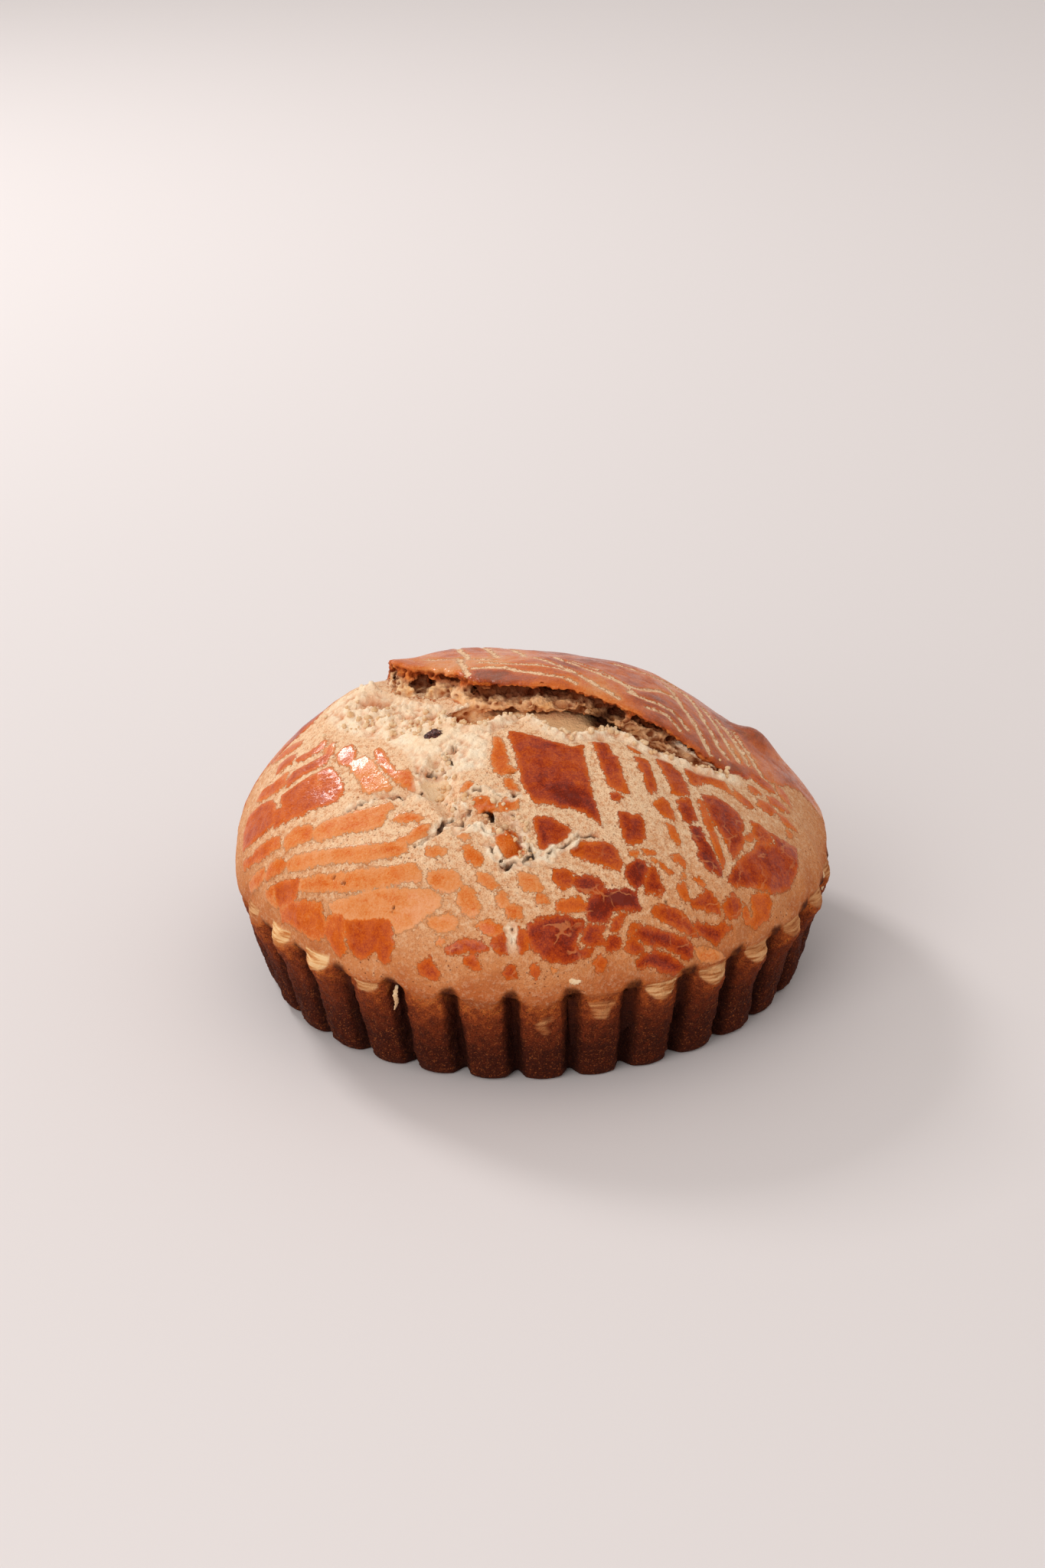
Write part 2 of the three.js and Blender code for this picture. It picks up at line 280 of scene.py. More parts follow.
TORN_RISE, TORN_AT, TORN_SPREAD = 4.8, (-47, 14), 13
KNOB_RISE, KNOB_AT, KNOB_SPREAD = 6.0, (66, 17), 6
TRENCH_FRONT = [(-22, -14), (-16, -20), (-9, -19.5), (-2, -15.2), (3, -20), (10, -24),
                (18, -22), (23, -18.6), (29, -21.5), (34, -23), (39, -22.8), (47, -21.4), (54, -18.5)]
TRENCH_BACK = [(-22, -10), (-16, -7), (-9, -5.5), (-2, -4), (3, -2.5), (10, -2), (18, -3),
               (23, -5), (29, -10.5), (34, -12.5), (39, -14), (47, -17), (54, -17.5)]
TRENCH_DEPTH = 4.2
# wide cracks in the front crust: (depth, line of places with the crack's width at each)
CRACKS = [
    (3.6, [(-25, -32, 4), (-24, -37, 10), (-23, -45, 8), (-19, -52, 6), (-10, -54, 4.5),
           (-5, -57, 4), (-3, -61, 3), (-8, -65, 1)]),
    (2.2, [(-46, -37, 1), (-38, -40, 2.6), (-25, -44, 3)]),
    (2.2, [(-30, -57.5, 1), (-25, -55.5, 2.6), (-19, -52, 3)]),
    (1.8, [(-4, -63, 1.6), (1, -65.7, 2.2), (9, -63, 2), (16, -58, 1)]),
]
# broken ledges on the flutes' heads: (flute, height of the top, how far it stands out)
LEDGES = [(-6, 34, 1.2), (-5, 34, 2), (-4, 33, 2.2), (-3, 29, 1), (1, 26, 0.9), (2, 29.5, 2),
          (3, 29.5, 2.2), (4, 30, 2), (5, 31, 2.2), (6, 32, 2.4), (7, 33, 1.8)]
LEDGE_DROP, LEDGE_SPAN, LEDGE_R, LEDGE_BOX = 16, 0.34, 82, 9
LEDGE_SPREAD = math.radians(5)
BROAD_LEDGE = 1.5         # a ledge that stands out more than this has a broader, paler head
CURRANT_AT, CURRANT_SUNK, CURRANT_TURN = (-25, -21.2), 0.9, math.radians(20)

# how softly the cake's parts run into one another
EDGE_BLEND, LID_BLEND, LIP_BLEND, RIM_BLEND, LEDGE_BLEND, FOOT_BLEND = 0.8, 0.6, 1.6, 0.5, 0.5, 0.5
DRAPE_BLEND, DRAPE_AT, DRAPE_SPREAD = 2.4, -0.1, 0.55

# the torn wall under the lid: (share of its depth, share of its lean), and the box round its relief
WALL_LEANS = ((0.0, 0.0), (0.3, 0.3), (0.6, 0.62), (1.0, 1.0))
WALL_BOX = ((-56, 62), (-34, 30), (56, 89))
FAR_BEHIND = [[100, 100], [-100, 100]]
EDGE_STEPS, TRENCH_STEPS = 96, 48
GRID_HALF, GRID_BELOW, GRID_TOP = 86, 1.3, 90
WALL_SEED, CAKE_SEED, CURRANT_SEED, CRUMB_SEED = 23, 7, 5, 31

MAP_CENTRE_Z = 20.0       # the crust is laid out flat by the directions from this height
MAP_SCALE = 76.0          # millimetres of the flat layout for each radian

# narrow cracks on the crust laid out flat: (width, depth, line)
FISSURES = [
    (1.0, 1.6, [(-8.4, -78.3), (-4.5, -77.8), (-1.4, -77.1), (3.3, -76.4), (7.5, -74.5), (11.8, -72.2),
                (14.8, -70.1), (19.3, -69.1)]),
    (1.1, 1.8, [(-1.4, -77.1), (-0.1, -75.3), (-1.3, -73.6), (-2.5, -71.0), (-3.5, -68.9), (-6.7, -65.0)]),
    (0.6, 0.9, [(-12.9, -72.6), (-11.1, -75.6), (-9.1, -78.2)]),
    (0.55, 0.9, [(-57.0, -44.8), (-53.6, -45.3), (-49.2, -46.1), (-45.1, -46.7), (-39.5, -50.2),
                 (-34.2, -50.3)]),
    (1.0, 1.1, [(-34.7, -67.7), (-31.3, -66.5), (-28.3, -64.8), (-25.1, -61.7), (-24, -58)]),
    (0.9, 1.5, [(-22.5, -64.2), (-19.5, -60.5), (-20.8, -57.2), (-17, -55), (-12, -57), (-8, -58),
                (-4, -57.5)]),
    (0.8, 1.4, [(-24.1, -34.5), (-26.9, -38.1), (-22.9, -43.8), (-25.2, -46.7)]),
    (0.5, 0.9, [(-7.4, -94.1), (-7.5, -95.8), (-7.2, -98.2)]),
    (0.4, 0.5, [(-9.3, -68.6), (-12.4, -69.5), (-16, -66), (-22.3, -65.6)]),
]
# small holes on the crust laid out flat: (place, radius, depth)
PITS = [
    ((-20.8, -57.2), 1.3, 2.4), ((-11.7, -63.3), 2.2, 3.2), ((-14.2, -62.4), 1.4, 2.2),
    ((-6.7, -64.6), 1.5, 2.6), ((-3.5, -68.9), 1.2, 2.0), ((-61.4, -64.5), 0.6, 0.7),
    ((-58.7, -68.2), 0.5, 0.7), ((-43.1, -81.6), 0.45, 0.6), ((41.9, -82.8), 0.8, 0.9),
    ((43.6, -83.2), 0.7, 0.9), ((-47.0, -58.7), 0.4, 0.5), ((-6.2, -49.3), 0.8, 1.0),
    ((-34.6, -42.6), 0.9, 1.6), ((-31.4, -42.9), 1.0, 1.8), ((-28.2, -43.6), 0.9, 1.8),
    ((-23.2, -36.0), 0.8, 1.2), ((-27.5, -56.5), 0.7, 0.9), ((-46.0, -33.0), 0.5, 0.7),
]
LARGE_PIT = 1.2           # a hole with a larger radius has rough dough round it
BLISTERS = [(6.7, -55.5), (17.6, -58.0), (3.9, -50.3), (12.9, -54.1)]
# a smooth hollow of pale dough below the currant: (centre, half width, half height, depth)
HOLLOW = ((-30.3, -49.6), 4.2, 5.2, 1.7)
CALM_AT = (-25, -21)      # the dough is smooth round the currant too
# the torn shoulder that stayed pale and unglazed, laid out flat
PALE_ZONE = [(-64, 12), (-60, -6), (-55, -13), (-47, -19), (-41, -28), (-38, -36), (-36, -43),
             (-35, -53), (-27, -56), (-23, -47), (-13.5, -47), (-11.5, -32), (-12, -21), (-20, -13),
             (-33, -3), (-45, 9), (-52, 16)]
# where the glaze baked darkest inside its patches, laid out flat
DARKEST = [(-1.2, -56.6), (6.3, -52.3), (15.2, -52.6), (20.3, -54.8), (21.8, -64.2), (16.3, -62.2),
           (9.4, -60.3), (0.7, -59.6)]
DARKER = 0.1
# how pale each ledge's head is
HEADS = {-6: 0.45, -5: 1.0, -4: 1.0, -3: 0.55, 1: 0.2, 2: 0.6, 3: 0.5, 4: 0.45, 5: 0.3, 6: 0.35, 7: 0.35}
# bare places on the wall where a chip came off: (flute, height, width)
CHIPS = ((1, 23, 4.0), (0, 19.5, 3.0))
CHIP_PALE = 0.25
# flakes of crust that hang on the wall: (line, width, thickness, twist)
FLAKES = [
    ([(-36.6, -70.3, 27.6), (-37.2, -71.2, 25.2), (-36.9, -70.6, 22.8), (-37.6, -70.8, 20.6)],
     1.3, 0.25, 1.4),
    ([(7.6, -81.9, 33.2), (8.8, -82.4, 33.6), (10.2, -82.3, 33.3), (11.4, -81.9, 33.7)], 1.6, 0.3, 0.6),
    ([(79.9, -19.6, 31.6), (80.4, -19.2, 29.4), (80.2, -18.8, 27.2), (79.9, -19.4, 25.4)], 1.2, 0.25, -1.2),
]
# a flake cut across, in shares of its half width and its thickness
FLAKE_SECTION = ((-1, -0.2), (-0.4, -0.6), (0.4, -0.6), (1, -0.2), (1, 0.2), (0.4, 0.6),
                 (-0.4, 0.6), (-1, 0.2))
# where loose crumbs fell: (line seen from above, steps along it, spread, share of the crumbs)
CRUMB_LINES = [
    (TRENCH_FRONT, 60, 2.4, 0.45),
    ([(-24, -32), (-22, -44), (-12, -53), (-4, -58), (-2, -64)], 40, 3.2, 0.3),
    ([(-52, 4), (-40, -6), (-30, -12), (-24, -18)], 40, 7, 0.25),
]

# the flat layout of baked colours, in shares of its side: where each region's middle lies
LAID_SCALE, FOOT_LAID_SCALE = 0.003, 0.0014
CRUST_LAID_AT, WALL_LAID_AT, FLOOR_LAID_AT = (0.35, 0.65), (0.73, 0.5), (0.84, 0.5)
HIDDEN_LAID_AT, FOOT_LAID_AT = (0.86, 0.87), (0.89, 0.12)

# the stage, in metres
FLOOR_SIZE = 6
SKY_COLOUR = (1, 0.98, 0.96)
KEY_AT, KEY_SIZE = (-0.8, 1.05, 0.95), 0.3
FILL_AT, FILL_SIZE = (-0.6, -0.9, 0.6), 0.8
LAMPS_AIM = (0, 0, 0.04)
CAMERA_AT = (-0.002, -0.776, 0.411)
CAMERA_DOWN, CAMERA_ROLL = math.radians(24.84), math.radians(-1.96)
CAMERA_LENS, SENSOR_WIDTH = 70.3, 36
# fork scores over the lid and the back, laid out flat: (width, line)
SCORES = [
    (1.8, [(-21, 16.2), (-19.4, 6.6), (-18.3, -0.5)]),
    (1.6, [(-16.5, 3.8), (-6.4, 1), (3.1, -4.8), (11.3, -7.3), (15.3, -9.9)]),
    (1.2, [(-14.9, 10), (-1.6, 2.7), (10.4, 0.2), (13.9, -1.9)]),
    (1.2, [(-30.2, 19.2), (-21, 17.3), (-8.9, 10.7)]),
    (1.8, [(3.4, 11.5), (11.7, 2.4), (18.7, -5.2), (24.6, -10.5), (28.9, -13.7)]),
    (2, [(9, 17.8), (18, 6.8), (27.8, 1.4), (35.5, -0.3), (46.3, 7.1), (52.2, 6.3)]),
    (1.6, [(15.4, 14.5), (25.6, 6), (30.9, 0.6), (34.6, -5)]),
    (1.6, [(29.3, 24.6), (42.3, 23.6), (50.5, 28.8), (56.4, 20.7)]),
    (1.8, [(33, -6.4), (40, -7.7), (48.3, -8.6), (52.8, -14.4)]),
    (2.2, [(46.9, 19), (51, 8.3), (54.3, -4.2), (58, -13.2), (60.3, -20.2)]),
    (2, [(55.3, 25.7), (59.3, 11.5), (62, -2.5), (65.6, -11.9), (68.2, -14.9)]),
    (1.8, [(61.4, 19.7), (65.8, 7.2), (69, -4.8), (72, -12.3)]),
    (1.8, [(66.8, 15.9), (71.2, 5.2), (75.3, -10.3)]),
    (1.8, [(72, 12.8), (76.1, -0.5), (79.2, -10.3), (84.3, -15.8)]),
    (1.4, [(38.3, -13.2), (45, -13.5), (49.4, -18)]),
    (1.7, [(-45, 30), (-10, 45), (30, 52), (75, 50)]),
    (1.7, [(-45, 38), (-10, 53), (30, 60), (75, 58)]),
    (1.7, [(-45, 46), (-10, 61), (30, 68), (75, 66)]),
    (1.7, [(-45, 54), (-10, 69), (30, 76), (75, 74)]),
    (1.7, [(-45, 63), (-10, 78), (30, 85), (75, 83)]),
    (1.8, [(-40, 95), (-30, 70), (-22, 40), (-18, 15)]),
    (1.8, [(-31, 95), (-21, 70), (-13, 40), (-9, 15)]),
    (1.8, [(-22, 95), (-12, 70), (-4, 40), (0, 15)]),
    (1.6, [(95, 30), (70, 60), (40, 85), (20, 100)]),
    (1.6, [(86, 30), (61, 60), (31, 85), (11, 100)]),
    (1.6, [(77, 30), (52, 60), (22, 85), (2, 100)]),
    (1.6, [(68, 30), (43, 60), (13, 85), (-7, 100)]),
    (1.7, [(-108, 5), (-80, 20), (-58, 40)]),
    (1.7, [(-108, 14), (-80, 29), (-58, 49)]),
    (1.7, [(-108, 23), (-80, 38), (-58, 58)]),
    (1.7, [(-108, 33), (-80, 48), (-58, 68)]),
    (1.7, [(-108, 43), (-80, 58), (-58, 78)]),
]
# the glazed part of the crust left of the lid, which turns to the back
LEFT_BACK = [(-112, 14), (-84, 14), (-68, 12), (-60, 22), (-56, 40), (-58, 70), (-64, 100), (-112, 80)]

# glazed patches between the fork's scores: (how brown, outline on the crust laid out flat)
GLAZED = [
    (0.82, [(-6.8, -29.5), (-3, -30.5), (2.5, -32.8), (8, -35.1), (14.5, -36.8), (17.7, -35.2),
            (18.1, -40.9), (18.8, -47.4), (19.9, -56.3), (21.4, -62.7), (22.2, -65.8), (20.3, -64.7),
            (16.6, -62.7), (12.5, -61.9), (6.9, -61), (2.1, -61.1), (0.2, -59.6), (-0.7, -57.4),
            (-2.1, -55.1), (-3, -52.2), (-3.4, -47.7), (-4.2, -41), (-5.6, -36.3)]),
    (0.6, [(-11, -32), (-8.8, -33), (-7.4, -39.1), (-6.7, -46), (-3.9, -48.6), (-6.8, -50.6), (-9.7, -50.1),
           (-11.3, -48.2), (-12.3, -43.9), (-11.8, -38.8)]),
    (0.6, [(-7.8, -51.4), (-5.9, -52.1), (-4, -55.1), (-3.4, -57.4), (-6, -57.3), (-7.8, -54.9)]),
    (0.6, [(-9.1, -58.9), (-6.9, -58), (-4.1, -57.9), (-3.7, -60.5), (-4.2, -63.1), (-7.6, -63.8),
           (-10.3, -61.6)]),
    (0.78, [(21.4, -32.8), (24.6, -31.2), (26.3, -32.3), (27.7, -38), (29.2, -38.2), (29.9, -43.3),
            (30.7, -48.6), (31.6, -52.7), (28.6, -53.6), (25.4, -51.7), (24.5, -47.9), (23.3, -43.3),
            (22.3, -38.3)]),
    (0.85, [(25.6, -54), (28.6, -53.9), (29.5, -54.8), (27.8, -57.1), (25.9, -56.7)]),
    (0.72, [(31.6, -26.6), (36.6, -16.6), (35.2, -27.3), (36.5, -30.8), (37.8, -33.4), (35.2, -34.2),
            (33, -32)]),
    (0.82, [(35, -36.1), (37.1, -36), (39.6, -36.1), (40.2, -40.6), (41.2, -45.7), (41.4, -48.8),
            (39.3, -50.2), (37.7, -48.7), (37.3, -44.1), (36.1, -40.5)]),
    (0.8, [(43.7, -21.5), (46.3, -22.1), (49.6, -21.6), (47.4, -30.8), (48.6, -34.3), (50.6, -35.8),
           (51.8, -40.5), (52.5, -45.1), (48.3, -47.3), (46.7, -46.5), (45.6, -42.7), (44.4, -39.2),
           (43.3, -35.5), (42.1, -32.1)]),
    (0.7, [(52, -22.7), (52.5, -28.6), (55.8, -29.1), (59.7, -28.8), (64.6, -26.9), (66.1, -29.2),
           (68, -33.8), (65.5, -34.4), (61.7, -33.9), (58.3, -36), (55.2, -39.5), (54, -38.8), (53, -35),
           (51.4, -31.4)]),
    (0.75, [(41.1, -51.9), (43.3, -50.2), (44.9, -51.3), (46.1, -54.1), (46.4, -56.8), (44, -57.7),
            (41.9, -56.6), (39.3, -54.6)]),
    (0.68, [(43.4, -59.3), (45.9, -59.1), (46.6, -61.4), (47.8, -64.5), (45.3, -64.8), (44, -62.3)]),
    (0.9, [(48.2, -48.9), (52.4, -45.8), (53.3, -49.3), (54.1, -53.7), (51.1, -56), (49.2, -55.5),
           (48.3, -52.6)]),
    (0.95, [(51.4, -57.2), (54.7, -55.6), (55.9, -58.1), (57.1, -60.8), (58.3, -62.6), (59.7, -65),
            (60.7, -68.4), (59.1, -68.4), (56.1, -69), (54.4, -67.5), (53, -65.9), (53.8, -63.1),
            (52.5, -61.3), (51.4, -59.8)]),
    (0.7, [(55.9, -44.7), (56.8, -45.1), (58.2, -49.5), (59.4, -54.4), (60.8, -58.9), (62.2, -64.2),
           (61, -65.5), (59.4, -62.1), (57.9, -57.9), (56.5, -53.3), (55.7, -47.9)]),
    (0.85, [(56.6, -42.6), (60.9, -39.8), (64.7, -39.9), (68.3, -41.1), (69.6, -42.7), (70.4, -45.8),
            (68.9, -50.4), (69.7, -52), (67.7, -56.5), (65.3, -60.5), (63.6, -59), (62.6, -56),
            (61.5, -53.2), (59.3, -50.9), (58.3, -47.3)]),
    (0.65, [(65.8, -25), (69.5, -23.8), (71.7, -25.9), (68.8, -27.7), (66.8, -27.4)]),
    (0.75, [(68.9, -30.8), (71.5, -31.6), (74, -32.3), (75.5, -34.6), (72.5, -36.1), (70, -35.8),
            (68.7, -34)]),
    (0.6, [(70.1, -17.4), (73, -15.6), (74.5, -19.8), (72.3, -20.2), (70.8, -20.1)]),
    (0.7, [(76.3, -14), (80.3, -12.8), (83.5, -13.5), (84.2, -16.9), (80.9, -19.1), (78, -18.6),
           (76, -18.2)]),
    (0.65, [(74.2, -23.1), (76.8, -22.5), (79, -23.5), (77.2, -26.2), (74.9, -26.5)]),
    (0.65, [(77.6, -27.8), (80.6, -26.6), (83, -27.8), (81.6, -32.2), (78.5, -32.5), (76.7, -31.3)]),
    (0.7, [(80.5, -22.6), (83.7, -20.6), (86.8, -21.3), (88.2, -22.4), (84.8, -25.8), (81.6, -26.3)]),
    (0.65, [(84.8, -10.2), (87.5, -9.6), (89.4, -13.2), (89.9, -18.4), (87.9, -17.7), (85.3, -15.8)]),
    (0.65, [(83.7, -28.5), (86.4, -27.7), (88.9, -28.6), (90.3, -29.6), (86.8, -31.6), (84.3, -31.5)]),
    (0.6, [(82.8, 1), (85.8, 1.2), (89.2, 2.9), (92.1, 5), (87.6, -3), (83.8, -4.7)]),
    (0.6, [(86.2, -33), (88.4, -33.2), (87.7, -35.3), (85.8, -36.1)]),
    (0.8, [(73.1, -42.2), (75.8, -41), (78.3, -41.9), (80.1, -44), (77.7, -47.4), (75, -48.7),
           (73.6, -47)]),
    (0.84, [(72.9, -52.5), (74.5, -48.9), (77.7, -47.7), (80.5, -44.8), (79.4, -41.6), (82.2, -40.9),
            (86.7, -39.3), (89.3, -38.1), (88.8, -44.6), (88.4, -49.2), (87.1, -54.3), (83.1, -58.8),
            (78.7, -62.8), (76.9, -62.6), (72.6, -65), (69, -66.7), (65.5, -69.1), (62.6, -68.9),
            (64.1, -65.4), (65.8, -61.7), (68.1, -58.3)]),
    (0.7, [(70.7, -48.6), (73.1, -46.2), (73.8, -48), (71.5, -50.8), (69.9, -51.1)]),
    (0.7, [(71.3, -68), (77.1, -63.4), (79.2, -65.2), (79.7, -69.5), (75.5, -74.9), (71.2, -75.9),
           (73.1, -72.5), (71.9, -70.3)]),
    (0.85, [(62.1, -73.5), (64.9, -71.4), (67.2, -71.7), (68.3, -74.1), (66.1, -77.3), (62.7, -78.4),
            (60.9, -76.7)]),
    (0.7, [(68.6, -71.6), (71.3, -72.5), (72.8, -74.2), (70.3, -76), (68.7, -74.9)]),
    (0.85, [(54.6, -74.4), (56.7, -74.5), (58.9, -75.6), (60.1, -77.1), (60.7, -78.9), (57.6, -79.6),
            (53.6, -80.5), (50.8, -80.9), (50, -79.7), (52.7, -77.6), (54.2, -76.2)]),
    (0.7, [(50.9, -72.7), (53.4, -72.3), (55.1, -73.1), (54.1, -74.2), (51.6, -73.9)]),
    (0.65, [(45.6, -76.8), (47.5, -75.1), (48.7, -76.3), (49.4, -78.9), (48.1, -80.5), (46.2, -79.6),
            (45, -78.4)]),
    (0.6, [(47.1, -73.1), (48.9, -73.1), (48.3, -74.4), (47, -74.4)]),
    (0.7, [(44.4, -69.3), (46.5, -68), (48.1, -68.8), (49, -70.2), (48.2, -71.6), (46.7, -70.7),
           (44.8, -70.9)]),
    (0.7, [(39.8, -72.3), (42.1, -73.1), (44, -74.2), (42.5, -74.9), (40.1, -74.2)]),
    (0.65, [(37.9, -71.8), (39.3, -72.3), (38.7, -73.3), (37.3, -72.9)]),
    (0.7, [(34.5, -70.5), (37.5, -69.7), (39, -69.9), (37.9, -71.4), (35.4, -71.8)]),
    (0.7, [(30, -72.1), (33.5, -71.5), (33.4, -73), (30.4, -73.7)]),
    (1, [(30.3, -75.5), (32.3, -73.9), (35.3, -73.8), (35.8, -75.6), (34.9, -78.5), (33.9, -80.7),
         (31.8, -82.2), (29.9, -81), (28, -79.4), (28.9, -77.2)]),
    (0.88, [(36.7, -74.3), (38.5, -75.1), (39.9, -77.6), (41.3, -80.2), (40.2, -81.8), (37.3, -81.9),
            (34.8, -81.9), (34.9, -79.3), (36, -77)]),
    (1, [(16.6, -86.8), (19.5, -84.6), (24.4, -83.4), (29.3, -82.5), (31.8, -83.2), (32.7, -85.3),
         (33.2, -87), (29.1, -87.3), (26.2, -87.6), (24.2, -89), (22.3, -91.3), (19.4, -92.2),
         (16.5, -91.4), (15.8, -89.6)]),
    (0.85, [(24.5, -90.4), (27.2, -88.5), (28.6, -88.3), (27.2, -90.9), (26.2, -93.2), (23.8, -93.2)]),
    (0.8, [(29.7, -91.7), (31.7, -89.9), (33.8, -89.5), (32.2, -91.3), (30.3, -93.4), (28.7, -93)]),
    (0.88, [(33.8, -90.2), (36.9, -90.3), (42.2, -90), (48.9, -89.5), (51.4, -90.4), (52.2, -92.7),
            (51.2, -94.1), (47.3, -94.3), (42.9, -94), (39.6, -94.1), (36, -94.6), (33.5, -94),
            (31.3, -93.3), (32.7, -91.5)]),
    (0.83, [(37.3, -85.1), (40.7, -83.8), (44.3, -83.3), (46.9, -83.7), (49.5, -84.7), (51.2, -86.1),
            (53.6, -87.7), (50.1, -88.4), (46, -88.4), (41.4, -87.8), (38.9, -87.6), (37.1, -86.7)]),
    (0.85, [(51.6, -84.4), (55.5, -83.5), (59.7, -82.4), (62.2, -80.4), (65.2, -80.2), (63.6, -82.2),
            (62.2, -85), (61.2, -86.7), (57.9, -86.8), (54.4, -86.9), (52.4, -86)]),
    (0.85, [(28.8, -94.8), (31.3, -94), (34.1, -94.9), (35.3, -95.8), (34.4, -97.1), (30.9, -97.7),
            (28.3, -97.1)]),
    (0.9, [(36.3, -96.5), (39.8, -95.2), (43.7, -95), (47.7, -95.6), (50, -96.5), (47.8, -98.8),
           (42.4, -99.8), (37, -99.7), (32.9, -101), (33, -99)]),
    (0.5, [(52.1, -90.8), (60.3, -88.3), (65.9, -88.1), (61.5, -91.2), (55.8, -92.9)]),
    (0.95, [(-2.1, -93.2), (1, -92), (5.5, -91.2), (10.9, -91.4), (15.5, -92), (13.5, -95.1), (12.1, -97.5),
            (14.5, -98.3), (18.3, -98.4), (17.1, -99.7), (13.3, -101.4), (9.1, -102.1), (4.7, -101.8),
            (1.4, -100.7), (-0, -99.2), (-1.9, -97.4), (-2.7, -95.3)]),
    (0.88, [(16.5, -92.6), (19.4, -92.5), (22.3, -92.7), (20.8, -94.5), (21.9, -96.5), (19, -97.6),
            (14.5, -97.2), (14.2, -95.8), (15.5, -94)]),
    (0.97, [(23.3, -94.5), (26.2, -94.1), (27.4, -95.8), (26, -97.9), (22.5, -98.3), (22.2, -96.5)]),
    (0.8, [(19.1, -100.1), (21.6, -99.5), (22.7, -101.1), (22, -103.1), (19.9, -103.3), (18.2, -101.6)]),
    (0.8, [(6, -80), (9.1, -79.5), (12.1, -80.5), (12.5, -82.4), (11.2, -84.4), (8.8, -85.1), (7.2, -84.2),
           (5.9, -82.3)]),
    (0.95, [(12.5, -81.5), (16.1, -80.8), (19.7, -81.4), (22, -83), (20.7, -84.7), (17.1, -85.5),
            (13.6, -84.6), (11.9, -83.4)]),
    (0.7, [(6.3, -88.3), (8.7, -87.3), (13.5, -86.5), (15.8, -87.8), (15.8, -89.6), (11, -90.3),
           (7, -89.7)]),
    (0.8, [(11.8, -73.3), (15.5, -71.9), (20.3, -71.2), (24.7, -71.2), (26.5, -73.5), (27.8, -76),
           (26.6, -78.7), (23.5, -78.2), (19.4, -77.4), (15.6, -76.6), (12.3, -75.4)]),
    (0.85, [(0.9, -65.2), (3.8, -64.9), (6.7, -65.6), (9.7, -67.1), (12.8, -68.3), (10.7, -71.2),
            (8.2, -73.5), (4.6, -75.1), (2.4, -76), (1.8, -72.6), (1.3, -69.2)]),
    (0.88, [(27.5, -60.7), (30.5, -60), (32.4, -60.5), (35, -59.5), (35.8, -61.3), (36.1, -64.2),
            (35.8, -67.2), (33.1, -69.6), (30.2, -70), (28.8, -68.5), (28.6, -65.5), (27.8, -63.2)]),
    (0.55, [(-21, -52.6), (-19.2, -51.2), (-16.8, -52.7), (-16.3, -55.6), (-19.1, -56.2), (-21.4, -54.2)]),
    (0.6, [(-18.2, -57.9), (-14.9, -56.9), (-11.4, -58.7), (-10.3, -62.1), (-13, -63.3), (-16.4, -61.9)]),
    (0.5, [(-14.9, -53.9), (-11.4, -55.7), (-10.2, -57.5), (-12.6, -57.5)]),
    (0.6, [(-12.8, -68.2), (-9.3, -67.5), (-6, -68.4), (-3.5, -69.9), (-1.7, -73.6), (-0.9, -76.3),
           (-3.7, -77), (-7.2, -77.4), (-9.5, -74.1), (-12.4, -71.1)]),
    (0.45, [(-22.1, -66.6), (-19.3, -66.9), (-18.9, -69.3), (-21, -69.7), (-22.6, -68.3)]),
    (0.6, [(-21.5, -71.4), (-18.7, -71.5), (-16.4, -73.6), (-14.9, -75.9), (-15.9, -77.8), (-18.2, -77),
           (-20.4, -74.5)]),
    (0.5, [(-16.9, -79.2), (-14.1, -79.6), (-11.8, -81.8), (-10.1, -83.9), (-12.2, -84.4), (-14.7, -83),
           (-16.5, -81.2)]),
    (0.45, [(-4.8, -80.9), (-1.5, -80.7), (0.8, -81.8), (2.1, -83.7), (2.9, -85), (0.1, -85.7),
            (-2.7, -85.4), (-4.4, -83.4)]),
    (0.5, [(-23.1, -82.9), (-20.2, -81.9), (-18, -84.2), (-16.3, -87.2), (-17.2, -89.4), (-20.3, -89.4),
           (-22.2, -87.6), (-23.5, -85.2)]),
    (0.45, [(-12, -85.2), (-9.2, -84.9), (-7.9, -86.9), (-7, -88.3), (-9.8, -88.7), (-11.6, -87.1)]),
    (0.58, [(-9.4, -88.6), (-6.1, -88.3), (-4.3, -89.5), (-3.4, -91.3), (-5.8, -91.9), (-8.1, -91)]),
    (0.62, [(-17.3, -91.2), (-14.2, -91.1), (-11, -92.5), (-9.3, -94.1), (-12.2, -94.9), (-14.1, -94.6),
            (-16.8, -93.2), (-18.1, -92)]),
    (0.85, [(-12.2, -94.9), (-9.3, -94.3), (-8, -96.3), (-8, -98.8), (-10.9, -99.4), (-13.2, -98.1),
            (-13.7, -96.1)]),
    (0.8, [(-5.4, -93.7), (-3.3, -94.2), (-2.3, -96.2), (-2.4, -98.4), (-4.4, -99.8), (-6.2, -98.6),
           (-6.3, -95.9)]),
    (0.85, [(-28.5, -95.4), (-25.8, -94.9), (-22.4, -94.1), (-18.4, -95.1), (-15.5, -96.6), (-14.4, -97.8),
            (-18.8, -97.9), (-22.2, -97.2), (-24.8, -97.4), (-28.2, -96.7)]),
    (0.8, [(-22.9, -98.3), (-19.9, -98.5), (-18.2, -100.2), (-18, -102), (-20.5, -101.7), (-22.7, -100.2)]),
    (0.88, [(-10, -102.4), (-8, -102), (-6.6, -102.6), (-6.8, -105.4), (-9.4, -105.6), (-10.7, -104)]),
    (0.72, [(-1.4, -102.7), (0.5, -102.4), (1, -103.9), (0.1, -106.1), (-1.3, -105.7), (-2.3, -104.2)]),
    (0.5, [(4.7, -103.4), (6.7, -103.6), (5.7, -104.7)]),
